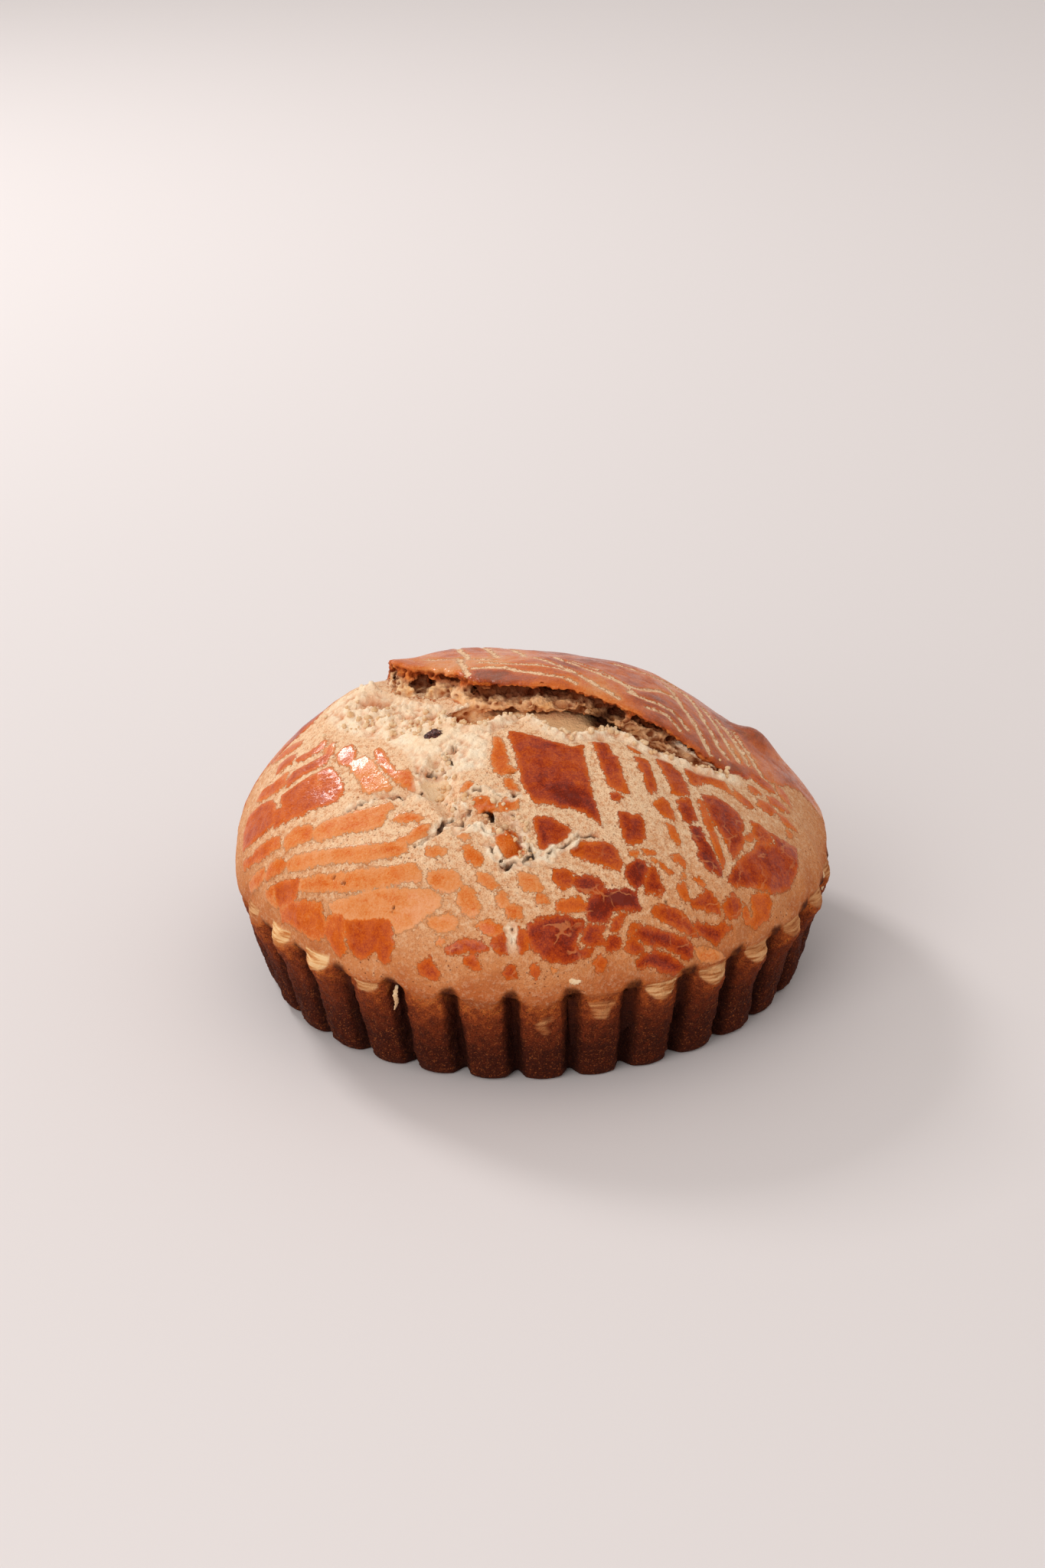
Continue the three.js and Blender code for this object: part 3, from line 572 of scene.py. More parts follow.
    (0.55, [(0.6, -86.1), (3.4, -86.5), (4.7, -88), (2.3, -88.7), (0.5, -87.6)]),
    (0.8, [(-38.1, -97.1), (-35.7, -96.2), (-33.8, -96.1), (-32.8, -98.1), (-31.4, -100.8), (-33.4, -101.8),
           (-36.4, -100.3), (-38.1, -98.7)]),
    (0.7, [(-77.7, -21.4), (-75.1, -21.7), (-70.3, -22), (-66.9, -22.7), (-66.8, -29), (-65.6, -30),
           (-65.7, -22.7), (-63.7, -22.6), (-61.7, -26.9), (-59.9, -31.9), (-59.3, -36.8), (-60.9, -38.8),
           (-63.9, -38), (-68, -36.3), (-70.5, -35.7), (-73.8, -34.2), (-76.5, -33.1), (-77.1, -27.5)]),
    (0.72, [(-86.5, -15.1), (-83.3, -17.9), (-81.1, -21), (-81.4, -29.3), (-84.9, -28.5), (-89.8, -26.6),
            (-94.4, -23.4), (-92.9, -17.1), (-90.8, -13.5)]),
    (0.75, [(-80, -25.9), (-78.3, -27.2), (-78.9, -32.2), (-80.3, -31.5)]),
    (0.72, [(-75.7, -15.8), (-74, -13.7), (-70.4, -14.9), (-66.8, -14.8), (-64.5, -14.8), (-63.4, -14.6),
            (-64.4, -18.7), (-67.5, -18.2), (-70.9, -17.4), (-73.9, -17.3), (-75.7, -17.9)]),
    (0.62, [(-85.3, -8), (-82, -10.3), (-78.6, -10.9), (-77, -11), (-77.3, -15.8), (-79.9, -15.6),
            (-83.4, -13.5), (-87.1, -9.6)]),
    (0.68, [(-72.6, -7.6), (-69.3, -8.1), (-66.8, -7.8), (-64.8, -6.2), (-65.3, -9.5), (-68, -9.7),
            (-71, -9.3)]),
    (0.66, [(-79.1, -0.8), (-76.3, -1.5), (-74.1, -3.8), (-75, -6.6), (-77.7, -5.9), (-79.4, -5.8)]),
    (0.62, [(-82.6, 9.6), (-79.2, 9.3), (-75.6, 8), (-72, 4), (-73.3, 2.2), (-76.5, 3.9), (-80, 5.5)]),
    (0.6, [(-60.4, -17.4), (-58.7, -15.9), (-56.9, -16.5), (-55.9, -21.1), (-56.7, -25.6), (-58.6, -23.7),
           (-60.1, -20.5)]),
    (0.48, [(-55.8, -25.1), (-52.7, -25.4), (-50.2, -29.9), (-48.2, -35.2), (-46, -39.9), (-43.3, -45.1),
            (-45.7, -44.7), (-49.4, -43.3), (-51.6, -39.7), (-53.5, -34.1), (-55.7, -29)]),
    (0.62, [(-48.4, -24.3), (-46.8, -27.4), (-45, -33.1), (-42.5, -38.5), (-40.5, -43.5), (-42, -42.2),
            (-44.2, -37.5), (-46.5, -32.6), (-47.9, -28.6)]),
    (0.58, [(-41.2, -39.9), (-38, -40.8), (-34.9, -46), (-34.3, -49.7), (-36.5, -49.2), (-38.4, -46.9),
            (-40.5, -44.2)]),
    (0.55, [(-63.9, -11), (-62.2, -9.9), (-62.7, -14.8), (-63.9, -13.7)]),
    (0.55, [(-75.7, -39.9), (-73.7, -39.8), (-69, -42.9), (-68.9, -47), (-72.7, -45.3), (-76.8, -43.7),
            (-76.9, -40.2)]),
    (0.48, [(-67, -45.8), (-63.7, -45.5), (-57.5, -47.9), (-52.7, -49.2), (-47.8, -50.6), (-43.5, -50.8),
            (-42.2, -52.8), (-44.6, -53.5), (-45.2, -56.6), (-50, -56.2), (-56.1, -53.3), (-62.4, -51.1),
            (-66.1, -49.2)]),
    (0.66, [(-91.5, -32.2), (-89.1, -32.3), (-85.9, -33.7), (-80, -37.2), (-79.8, -40.3), (-83.9, -38.3),
            (-88.3, -36.1), (-96.1, -29.7), (-96.1, -28.3)]),
    (0.48, [(-77.1, -48.9), (-74.6, -49.5), (-70.5, -51.8), (-65, -55), (-58.6, -58.6), (-52.4, -61.4),
            (-46.4, -63.6), (-41.7, -64.7), (-38.1, -65.9), (-37.8, -68.2), (-40.1, -68.2), (-45.3, -66.7),
            (-51.2, -64.9), (-58.8, -61), (-65.2, -57.6), (-72.1, -54.3), (-77.3, -50.6)]),
    (0.6, [(-84.8, -43.7), (-82.6, -43.9), (-79.3, -45.9), (-78.9, -47.9), (-80, -48.2), (-83.2, -46.6),
           (-86.3, -44.9)]),
    (0.56, [(-87.5, -41.6), (-87.7, -43.5), (-90.9, -42.3), (-96.9, -38.1), (-96.5, -36.3),
            (-92.4, -38.2)]),
    (0.7, [(-83.9, -50.7), (-79.3, -53.9), (-74.1, -57.3), (-75.1, -58.5), (-76.9, -59.9), (-79.6, -59.3),
           (-84.8, -55.6), (-84.9, -52.9)]),
    (0.48, [(-73, -58.2), (-65.8, -62), (-57.9, -66.2), (-50.3, -69), (-43.1, -71.3), (-37.2, -72.1),
            (-35.4, -73.2), (-33.4, -76), (-34.4, -77.1), (-41.1, -75.5), (-47.1, -73.7), (-53.1, -71.8),
            (-61.1, -67.9), (-69.1, -62.8), (-73.6, -59.6)]),
    (0.56, [(-88.2, -48.5), (-85.1, -50.4), (-86.3, -52.2), (-86.6, -54.4), (-87.6, -52.5),
            (-88.6, -49.4)]),
    (0.64, [(-85.6, -57.4), (-79.8, -59.9), (-73.1, -64.8), (-68.5, -68.3), (-69, -70.6), (-68.5, -73.1),
            (-69.4, -75.4), (-72.8, -75), (-76.4, -72), (-77.9, -68.6), (-82.4, -63.3), (-86.3, -59.4)]),
    (0.4, [(-64.3, -70.6), (-59.1, -72.6), (-51, -74.4), (-38.9, -78.2), (-31.9, -80.2), (-27.8, -83.1),
           (-28.7, -85.3), (-32.4, -86.2), (-37.6, -87.5), (-42.7, -86.8), (-44.2, -83.4), (-47, -81.4),
           (-52.3, -80.2), (-57.3, -77.5), (-62.4, -73.3)]),
    (0.66, [(-66.2, -73.3), (-62.8, -74.1), (-60.4, -75.4), (-60.8, -78.3), (-62.4, -80.5), (-63.4, -83.2),
            (-65.8, -83.3), (-67.4, -80.9), (-68.6, -77.4), (-69, -74.9)]),
    (0.76, [(-59.6, -77.8), (-55, -79.6), (-49.9, -81.8), (-45.3, -83.6), (-44.5, -85.2), (-45.8, -87.6),
            (-45.6, -89.6), (-47.9, -91.7), (-49.8, -92.1), (-50.9, -90.3), (-50.9, -87.7), (-53.6, -87.7),
            (-56.4, -88.2), (-59.1, -86.6), (-60.5, -84.2), (-60.5, -81.5)]),
    (0.52, [(-40.5, -56.2), (-38.1, -56.4), (-34.6, -58.4), (-32.3, -60.4), (-35.8, -59.9), (-39.3, -59.1),
            (-41.4, -57)]),
    (0.52, [(-35.9, -62.8), (-33.5, -61.9), (-30.8, -62.8), (-30.2, -64.5), (-32.7, -66), (-34.8, -66.5),
            (-38.1, -65.4), (-40, -64), (-37, -64)]),
    (0.48, [(-32.4, -69.1), (-29, -69.4), (-26.1, -70.8), (-26.1, -72.9), (-30.3, -72.2), (-32.5, -70.3)]),
    (0.46, [(-31.6, -75.9), (-28.1, -76.1), (-23.1, -77.4), (-22, -79.8), (-21.4, -81.7), (-23.1, -82.3),
            (-26.1, -82.2), (-29.5, -80.8), (-31.7, -78.9)]),
    (0.46, [(-32.6, -87.1), (-28.9, -87.5), (-24.9, -88), (-23.7, -90.1), (-25.3, -91.5), (-29.4, -91.2),
            (-32.3, -89)]),
    (0.55, [(-30.3, -92.2), (-27.9, -92.6), (-29.2, -94.3), (-31.1, -93.3)]),
]


# ---- the cake's form ----
def from_groove(az):
    """How far round from the nearest groove, as a share of one flute: 0 to 0.5."""
    share = np.mod((az - FLUTE_TURN) / PITCH_ANGLE + 0.5, 1)
    return np.minimum(share, 1 - share)


def flute_radius(az, z):
    off_groove = from_groove(az)
    groove = GROOVE_DEPTH * (1 - ease(off_groove, 0, GROOVE_HALF))
    crown = CROWN * (1 - np.sin(math.pi * off_groove))
    foot = FOOT_ROUND * np.maximum(0, 1 - z / 3) ** 2
    share_up = np.minimum(z / RIM_Z, 1)
    return FOOT_CREST_R + (RIM_CREST_R - FOOT_CREST_R) * share_up - groove - crown - foot


def flute_azimuth(flute):
    return FLUTE_TURN + flute * PITCH_ANGLE


def dome_inset(az):
    """How far the dome draws in above the broken ledges."""
    nearest = 0
    for flute, _, proud in LEDGES:
        over_ledge = hill(turn_between(az, flute_azimuth(flute)), LEDGE_SPREAD)
        nearest = np.maximum(nearest, min(proud / 2, 1) * over_ledge)
    return DOME_INSET * nearest


def lip_level(az):
    return RIM_Z - DOME_LIP + LIP_SHORTER * hill(turn_between(az, SHORT_SIDE), SHORT_SPREAD)


def fullness(az):
    return DOME_FULLNESS + FULLNESS_SWING * np.cos(az - FULL_SIDE)


def crust_bumps(x, y):
    """The swollen places and the dimples of the dome."""
    out = np.minimum(np.hypot(x, y) / DOME_R, 1)
    torn = TORN_RISE * hill(np.hypot(x - TORN_AT[0], y - TORN_AT[1]), TORN_SPREAD)
    knob = KNOB_RISE * hill(np.hypot(x - KNOB_AT[0], y - KNOB_AT[1]), KNOB_SPREAD)
    dimples = DOME_DIMPLES * (np.sin(x / 9 + 1) * np.cos(y / 11) + np.sin((x - y) / 17))
    return (1 - out**6) * (torn + knob + dimples)


def lid_lift(x, y):
    """How far the lid stands over the dome's own line."""
    out = np.minimum(np.hypot(x, y) / DOME_R, 1)
    left = np.maximum(0, x / LID_LEFT_X) ** 1.5
    rise = LID_RISE * (1 - ease(x, *LID_FALL)) + LID_LEFT_RISE * np.minimum(left, 1.2)
    rise = rise * (1 - out**LID_FADE) * (1 - LID_HINGE * ease(y, *LID_HINGE_Y))
    return rise * (1 - ease(y - x, *LID_SETTLE))


def crust_height(x, y):
    az = np.arctan2(x, -y)
    n = fullness(az)
    out = np.minimum(np.hypot(x, y) / DOME_R, 1)
    return RIM_Z + RIM_BULGE + DOME_RISE * (1 - out**n) ** (1 / n) + crust_bumps(x, y)


def flat_crust(points):
    """Places on the crust laid out flat, in millimetres from its top, with the front downwards."""
    x, y, z = points.T
    az = np.arctan2(x, -y)
    lean = np.arctan2(np.hypot(x, y), z - MAP_CENTRE_Z)
    return MAP_SCALE * lean * np.sin(az), -MAP_SCALE * lean * np.cos(az)


def dome_field(x, y, z, r, az, extra):
    """About the distance to the dome's outer surface, negative inside."""
    n = fullness(az)
    above = np.maximum(z - (RIM_Z + RIM_BULGE) - crust_bumps(x, y) - extra, 0) / DOME_RISE
    drawn = (r + dome_inset(az) * np.minimum(r / DOME_R, 1) ** 8) / DOME_R
    size = np.maximum((drawn**n + above**n) ** (1 / n), 1e-3)
    across = (drawn / size) ** (n - 1) / DOME_R
    up = (above / size) ** (n - 1) / DOME_RISE
    return (size - 1) / np.maximum(np.hypot(across, up), 1e-4)


def plan(values):
    """Values over the flat plan, ready to spread through the grid's height."""
    return values[:, :, None].astype(np.float32)


def part_of(levels, ends):
    return slice(*np.searchsorted(levels, ends))


def torn_wall(flat_x, flat_y, depth):
    """Distance to the torn wall, which leans from the lid's edge towards its foot."""
    edge = smooth_curve([(px, py, foot) for (px, py), foot in zip(LID_EDGE, WALL_FOOT)], EDGE_STEPS)
    sheets = []
    for _, lean in WALL_LEANS:
        line = np.concatenate([edge[:, :2] - np.outer(edge[:, 2] * lean, (0, 1)), FAR_BEHIND])
        sheets.append(plan(outline_distance(flat_x, flat_y, line)))
    behind = sheets[0] + np.zeros_like(depth)
    for k, ((start, _), (end, _)) in enumerate(zip(WALL_LEANS, WALL_LEANS[1:])):
        share = np.clip((depth - start) / (end - start), 0, 1)
        behind = behind + share * (sheets[k + 1] - sheets[k])
    return behind


def torn_wall_relief(behind, depth, xs, zs):
    """Adds the crust's overhang, the hollows under it and the crags of the crumb to the torn wall."""
    across, inwards, upwards = WALL_BOX
    box = (part_of(xs, across), part_of(xs, inwards), part_of(zs, upwards))
    x, y, z = np.meshgrid(xs[box[0]], xs[box[1]], zs[box[2]], indexing="ij")
    places = np.stack([x.ravel(), y.ravel(), z.ravel()], 1).astype(float)
    noise = Noise(WALL_SEED)
    crags = 1.5 * noise.lumps(places / (6.5, 6.5, 3.0), 1)
    crags = crags + 0.9 * noise.lumps(places / (2.8, 2.8, 1.6) + 9, 1)
    caves = 2.4 * (1 - ease(noise.bubbles(places / (1.6, 1.6, 0.9), 3.6), 0.16, 0.5))
    jag = 0.9 * noise.lumps(places / (2.4, 2.4, 30) + 3, 1)
    rooms = 6.0 * (1 - ease(noise.bubbles(places / (2.1, 2.1, 0.9) + 5, 3.4), 0.25, 0.6))
    crags, caves, jag, rooms = (values.reshape(x.shape) for values in (crags, caves, jag, rooms))
    under = depth[box] * TEAR_DEPTH
    split = ease(x, -20, -13) * (1 - ease(x, 25, 29)) + 0.8 * ease(x, 28, 32) * (1 - ease(x, 43, 48))
    caves = caves + rooms * hill(under - 3.8, 2.2)
    overhang = (-1.5 * hill(under - 0.6, 1.0) + 2.6 * hill(under - 3.4, 1.2) - 1.6 * hill(under - 7.0, 1.8)
                + 4.2 * hill(under - 10.2, 1.4))
    cave = 9 * hill(x - 20.5, 4.4) * hill(under - 11, 2.2)
    pillar = -2.2 * hill(x - 26.5, 1.6) * ease(under, 3, 6)
    crust_end = ease(under, 1.2, 2.4)
    ragged = jag * (1 - 0.5 * crust_end)
    behind[box] += split * overhang + cave + pillar + ragged + crust_end * (crags + caves)


def trench_outline():
    """The trench's front edge, and the closed line round the whole trench."""
    front = smooth_curve(TRENCH_FRONT, TRENCH_STEPS)
    return front, np.concatenate([front, smooth_curve(TRENCH_BACK, TRENCH_STEPS)[::-1]])


def trench_field(x, y, z, flat_x, flat_y):
    """The trench in front of the torn wall, negative inside it."""
    front, outline = trench_outline()
    pit = outline_distance(flat_x, flat_y, outline)
    to_front, _ = line_distance(flat_x, flat_y, front)
    floor = crust_height(x, y) - TRENCH_DEPTH * plan(ease(to_front, -0.5, 3.5)) * plan(ease(-pit, -0.3, 1.2))
    return np.maximum(plan(pit) * 0.9, (floor - z) * 0.9)


def crack_depths(flat_x, flat_y):
    """How deep the wide cracks cut into the front crust."""
    groove = np.zeros(flat_x.shape)
    for depth, path in CRACKS:
        line = smooth_curve(path, 12 * len(path))
        away, along = line_distance(flat_x, flat_y, line)
        width = np.interp(along, np.arange(len(line)), line[:, 2])
        inside = np.clip(1.15 - away / np.maximum(width / 2, 0.4), 0, 1)
        groove = np.maximum(groove, depth * np.minimum(1, width / 3) * inside)
    return groove


def add_ledge(body, xs, zs, r, az, ledge):
    """Joins one broken ledge to the head of its flute."""
    flute, height, proud = ledge
    middle = flute_azimuth(flute)
    cx, cy = LEDGE_R * math.sin(middle), -LEDGE_R * math.cos(middle)
    near = (part_of(xs, (cx - LEDGE_BOX, cx + LEDGE_BOX)), part_of(xs, (cy - LEDGE_BOX, cy + LEDGE_BOX)),
            part_of(zs, (height - LEDGE_DROP - 1, height + 1.5)))
    side = (az[near[0], near[1]] - middle) / (LEDGE_SPAN * PITCH_ANGLE)
    around = np.sqrt(np.maximum(0, 1 - side**2))
    level = zs[None, None, near[2]]
    levels = [height - LEDGE_DROP, height - 6, height - 3, height]
    out = np.interp(level, levels, [-0.8, proud, 0.7 * proud, -0.8])
    radius = flute_radius(middle, level) - 3.5 + (out + 3.5) * around
    ends = np.maximum(level - height, height - LEDGE_DROP - level)
    solid = np.maximum(r[near[0], near[1]] - radius, ends)
    body[near] = soft_min(body[near], solid.astype(np.float32), LEDGE_BLEND)


def cake_fields(pitch):
    """The whole cake as a grid of distances to its surface, with the fields that mark its parts."""
    corner = np.array([-GRID_HALF, -GRID_HALF, -GRID_BELOW - pitch])
    xs = np.arange(corner[0], GRID_HALF + pitch, pitch, dtype=np.float32)
    zs = np.arange(corner[2], GRID_TOP, pitch, dtype=np.float32)
    x = xs[:, None, None]
    y = xs[None, :, None]
    z = zs[None, None, :]
    r = np.hypot(x, y)
    az = np.arctan2(x, -y)
    flat_x, flat_y = (np.broadcast_to(a, r.shape)[:, :, 0].astype(float) for a in (x, y))

    front = dome_field(x, y, z, r, az, 0)
    lift = lid_lift(x, y)
    lid_top = dome_field(x, y, z, r, az, lift)
    top_z = crust_height(x, y) + lift
    depth = (top_z - z) / TEAR_DEPTH
    behind = torn_wall(flat_x, flat_y, depth)
    flat_wall = behind.copy()
    torn_wall_relief(behind, depth, xs, zs)
    lid = soft_max(lid_top, behind, EDGE_BLEND)
    front = front + plan(crack_depths(flat_x, flat_y)) * 0.9

    body = np.maximum(front, -trench_field(x, y, z, flat_x, flat_y))
    body = soft_min(body, lid, LID_BLEND)
    body = soft_max(body, (lip_level(az) - z).astype(np.float32), LIP_BLEND)
    wall = np.maximum((r - flute_radius(az, z)) * 0.85, z - (RIM_Z + RIM_BULGE))
    body = soft_min(body, wall, 0.8 + DRAPE_BLEND * hill(turn_between(az, DRAPE_AT), DRAPE_SPREAD))
    body = soft_max(body, r - RIM_CREST_R + 0.05, RIM_BLEND)
    for ledge in LEDGES:
        add_ledge(body, xs, zs, r, az, ledge)
    body = soft_max(body, -z + np.zeros_like(body), FOOT_BLEND)
    marks = {"behind": behind, "flat_wall": flat_wall, "lid_top": lid_top, "front": front}
    return body, marks, corner


def mesh_object(name, points, faces):
    mesh = bpy.data.meshes.new(name)
    mesh.vertices.add(len(points))
    mesh.vertices.foreach_set("co", (np.asarray(points) * MM).astype(np.float32).ravel())
    mesh.loops.add(faces.size)
    mesh.loops.foreach_set("vertex_index", faces.astype(np.int32).ravel())
    mesh.polygons.add(len(faces))
    mesh.polygons.foreach_set("loop_start", np.arange(0, faces.size, faces.shape[1], dtype=np.int32))
    mesh.update(calc_edges=True)
    mesh.validate()
    return placed(name, mesh)


def placed(name, mesh):
    """A smooth-shaded object of the mesh, in the scene."""
    mesh.polygons.foreach_set("use_smooth", np.ones(len(mesh.polygons), bool))
    thing = bpy.data.objects.new(name, mesh)
    bpy.context.scene.collection.objects.link(thing)
    return thing


def mesh_places(mesh):
    """The places and the outward directions of a mesh's corners, in millimetres."""
    places = np.zeros(len(mesh.vertices) * 3, np.float32)
    mesh.vertices.foreach_get("co", places)
    normals = np.zeros(len(mesh.vertices) * 3, np.float32)
    mesh.vertex_normals.foreach_get("vector", normals)
    return places.reshape(-1, 3).astype(float) / MM, normals.reshape(-1, 3).astype(float)


def keep_attribute(mesh, name, values):
    layer = mesh.attributes.new(name, "FLOAT", "POINT")
    layer.data.foreach_set("value", np.asarray(values, np.float32))


def refine(mesh, chosen):
    """Splits each face with a chosen corner in four, so that fine crumb has something to stand on."""
    bm = bmesh.new()
    bm.from_mesh(mesh)
    bm.verts.ensure_lookup_table()
    faces = {face for index in np.flatnonzero(chosen) for face in bm.verts[index].link_faces}
    edges = list({edge for face in faces for edge in face.edges})
    bmesh.ops.subdivide_edges(bm, edges=edges, cuts=1, use_grid_fill=True)
    bm.to_mesh(mesh)
    bm.free()
    mesh.polygons.foreach_set("use_smooth", np.ones(len(mesh.polygons), bool))
    mesh.update()


# ---- what each place of the cake's surface is ----
def glaze_layout(points, lid_side, noise):
    """How deep inside a glazed patch each place lies (below 0 outside), and how brown that patch is."""
    u, v = flat_crust(points)
    depth = np.full(len(points), -9.0)
    tone = np.full(len(points), 0.5)
    for brown, outline in GLAZED:
        outline = np.array(outline)
        near = near_line(u, v, outline, 5)
        inside = -outline_distance(u[near], v[near], outline) + 0.3 + 0.8 * ease(-u[near], 30, 50)
        deeper = inside > depth[near]
        depth[near[deeper]] = inside[deeper]
        tone[near[deeper]] = brown
    tone = np.where(tone > 0.84, 0.84 + 0.75 * (tone - 0.84), tone)
    tone = tone + DARKER * ease(-outline_distance(u, v, DARKEST) + 1.5 * noise.lumps(points, 3), -1.5, 2.5)
    ragged = 5 * noise.fractal(points + 20, 11, 3)
    rest = lid_side + 1.5 + (ragged - 2) * ease(points[:, 0], 56, 64)
    rest = np.maximum(rest, -outline_distance(u, v, LEFT_BACK) + 0.6 * ragged)
    wavy_u = u + 0.6 * noise.lumps(points, 6)
    wavy_v = v + 0.6 * noise.lumps(points + 50, 6)
    for width, line in SCORES:
        line = np.array(line)
        near = near_line(u, v, line, 6)
        away, _ = line_distance(wavy_u[near], wavy_v[near], smooth_curve(line, 5 * len(line)))
        rest[near] = np.minimum(rest[near], away - width / 2)
    brown = np.clip(0.7 + 0.34 * noise.fractal(points, 13, 3), 0.45, 0.92)
    use_rest = (rest > depth) & (rest > -3)
    depth = np.where(use_rest, rest, depth)
    tone = np.where(use_rest, brown, tone) + 0.05 * noise.fractal(points, 3.5, 2)
    return depth, tone


def line_marks(points, noise):
    """How near each place is to a crack or a small hole, from 0 to 1, and how far it sinks there."""
    u, v = flat_crust(points)
    u = u + 0.9 * noise.lumps(points, 1.7) + 0.5 * noise.lumps(points, 0.8)
    v = v + 0.9 * noise.lumps(points + 40, 1.7) + 0.5 * noise.lumps(points + 40, 0.8)
    near, sunk, around = np.zeros(len(points)), np.zeros(len(points)), np.full(len(points), 30.0)
    for width, depth, line in FISSURES:
        away, _ = line_distance(u, v, np.array(line))
        inside = 1 - ease(away, 0.25 * width, 0.75 * width)
        near, sunk = np.maximum(near, 0.9 * inside), np.maximum(sunk, depth * inside)
        around = np.minimum(around, away)
    for (pu, pv), radius, depth in PITS:
        away = np.hypot(u - pu, v - pv)
        inside = 1 - ease(away, 0.5 * radius, 1.15 * radius)
        near, sunk = np.maximum(near, inside), np.maximum(sunk, depth * inside)
        if radius > LARGE_PIT:
            around = np.minimum(around, away)
    return near, sunk, around


def wall_marks(points, crest, noise):
    """The browned wall: where it is, how far down it, where the ledges' pale heads are and how pale."""
    x, y, z = points.T
    az = np.arctan2(x, -y)
    drape = hill(turn_between(az, flute_azimuth(-0.6)), 0.36)
    start = 31.8 - crest * (1.4 + 3.6 * drape) + 0.8 * noise.lumps(points * (1, 1, 0.5), 4)
    tin = 1 - ease(z, start - 1.2 - 1.6 * crest, start + 0.6)
    down = np.clip((start - z) / 20, 0, 1)
    head, pale = np.zeros(len(points)), np.zeros(len(points))
    for flute, height, proud in LEDGES:
        side = turn_between(az, flute_azimuth(flute)) / (LEDGE_SPAN * PITCH_ANGLE)
        half, high = (0.86, 4.6) if proud > BROAD_LEDGE else (0.7, 2.6)
        across = np.sqrt(np.maximum(0, 1 - (side / half) ** 2))
        low = height - 0.6 - high * across
        one = ease(across, 0.05, 0.35) * ease(z, low - 0.6, low + 0.6) * (1 - ease(z, height - 0.7, height))
        stronger = one > head
        head[stronger], pale[stronger] = one[stronger], HEADS[flute]
    for flute, height, wide in CHIPS:
        away = np.hypot(turn_between(az, flute_azimuth(flute)) * LEDGE_R, z - height)
        away = away + 1.5 * noise.lumps(points, 2.5)
        one = 0.8 * (1 - ease(away, 0.5 * wide, wide))
        stronger = one > head
        head[stronger], pale[stronger] = one[stronger], CHIP_PALE
    return tin, down, head, pale


def surface_marks(points, fields, noise):
    """Where the surface is torn, rough, cracked or smooth dough, at the given places."""
    marks, corner, pitch = fields
    mark = {name: sample(field, corner, pitch, points) for name, field in marks.items()}
    x, y, z = points.T
    u, v = flat_crust(points)
    behind = mark["behind"]
    off_crust = np.minimum(np.abs(mark["lid_top"]), np.abs(mark["front"]))
    on_wall = (1 - ease(np.abs(behind), 0.7, 1.6)) * ease(-mark["lid_top"], 0.7, 1.5)
    mark["torn"] = np.maximum(ease(off_crust, 0.35, 1.1), on_wall) * ease(z, 33, 37)
    mark["crest"] = ease(from_groove(np.arctan2(x, -y)), 0.04, 0.34)
    mark["near"], mark["sunk"], mark["around"] = line_marks(points, noise)
    mark["pit"] = pit = outline_distance(x, y, trench_outline()[1])
    zone = ease(-outline_distance(u, v, PALE_ZONE) + 1.6 * noise.lumps(points, 5), -1.0, 1.5)
    lip = 1 - ease(pit + 1.2 * noise.lumps(points, 4), 2.2, 4.4)
    beside_crack = 1 - ease(mark["around"] + 1.2 * noise.lumps(points, 3), 0.6, 1.9)
    rough = np.maximum(np.maximum(zone, lip), beside_crack)
    mark["rough"] = rough * ease(behind, 0.3, 1.3) * ease(z, 40, 46)
    dough = ease(behind + noise.lumps(points, 4), 1.2, 2.6)
    dough = dough * ease(-pit + noise.lumps(points, 3), 0.2, 1.4)
    mark["dough"] = dough * ease(x, -3, 2) * (1 - ease(x, 15, 20))
    return mark


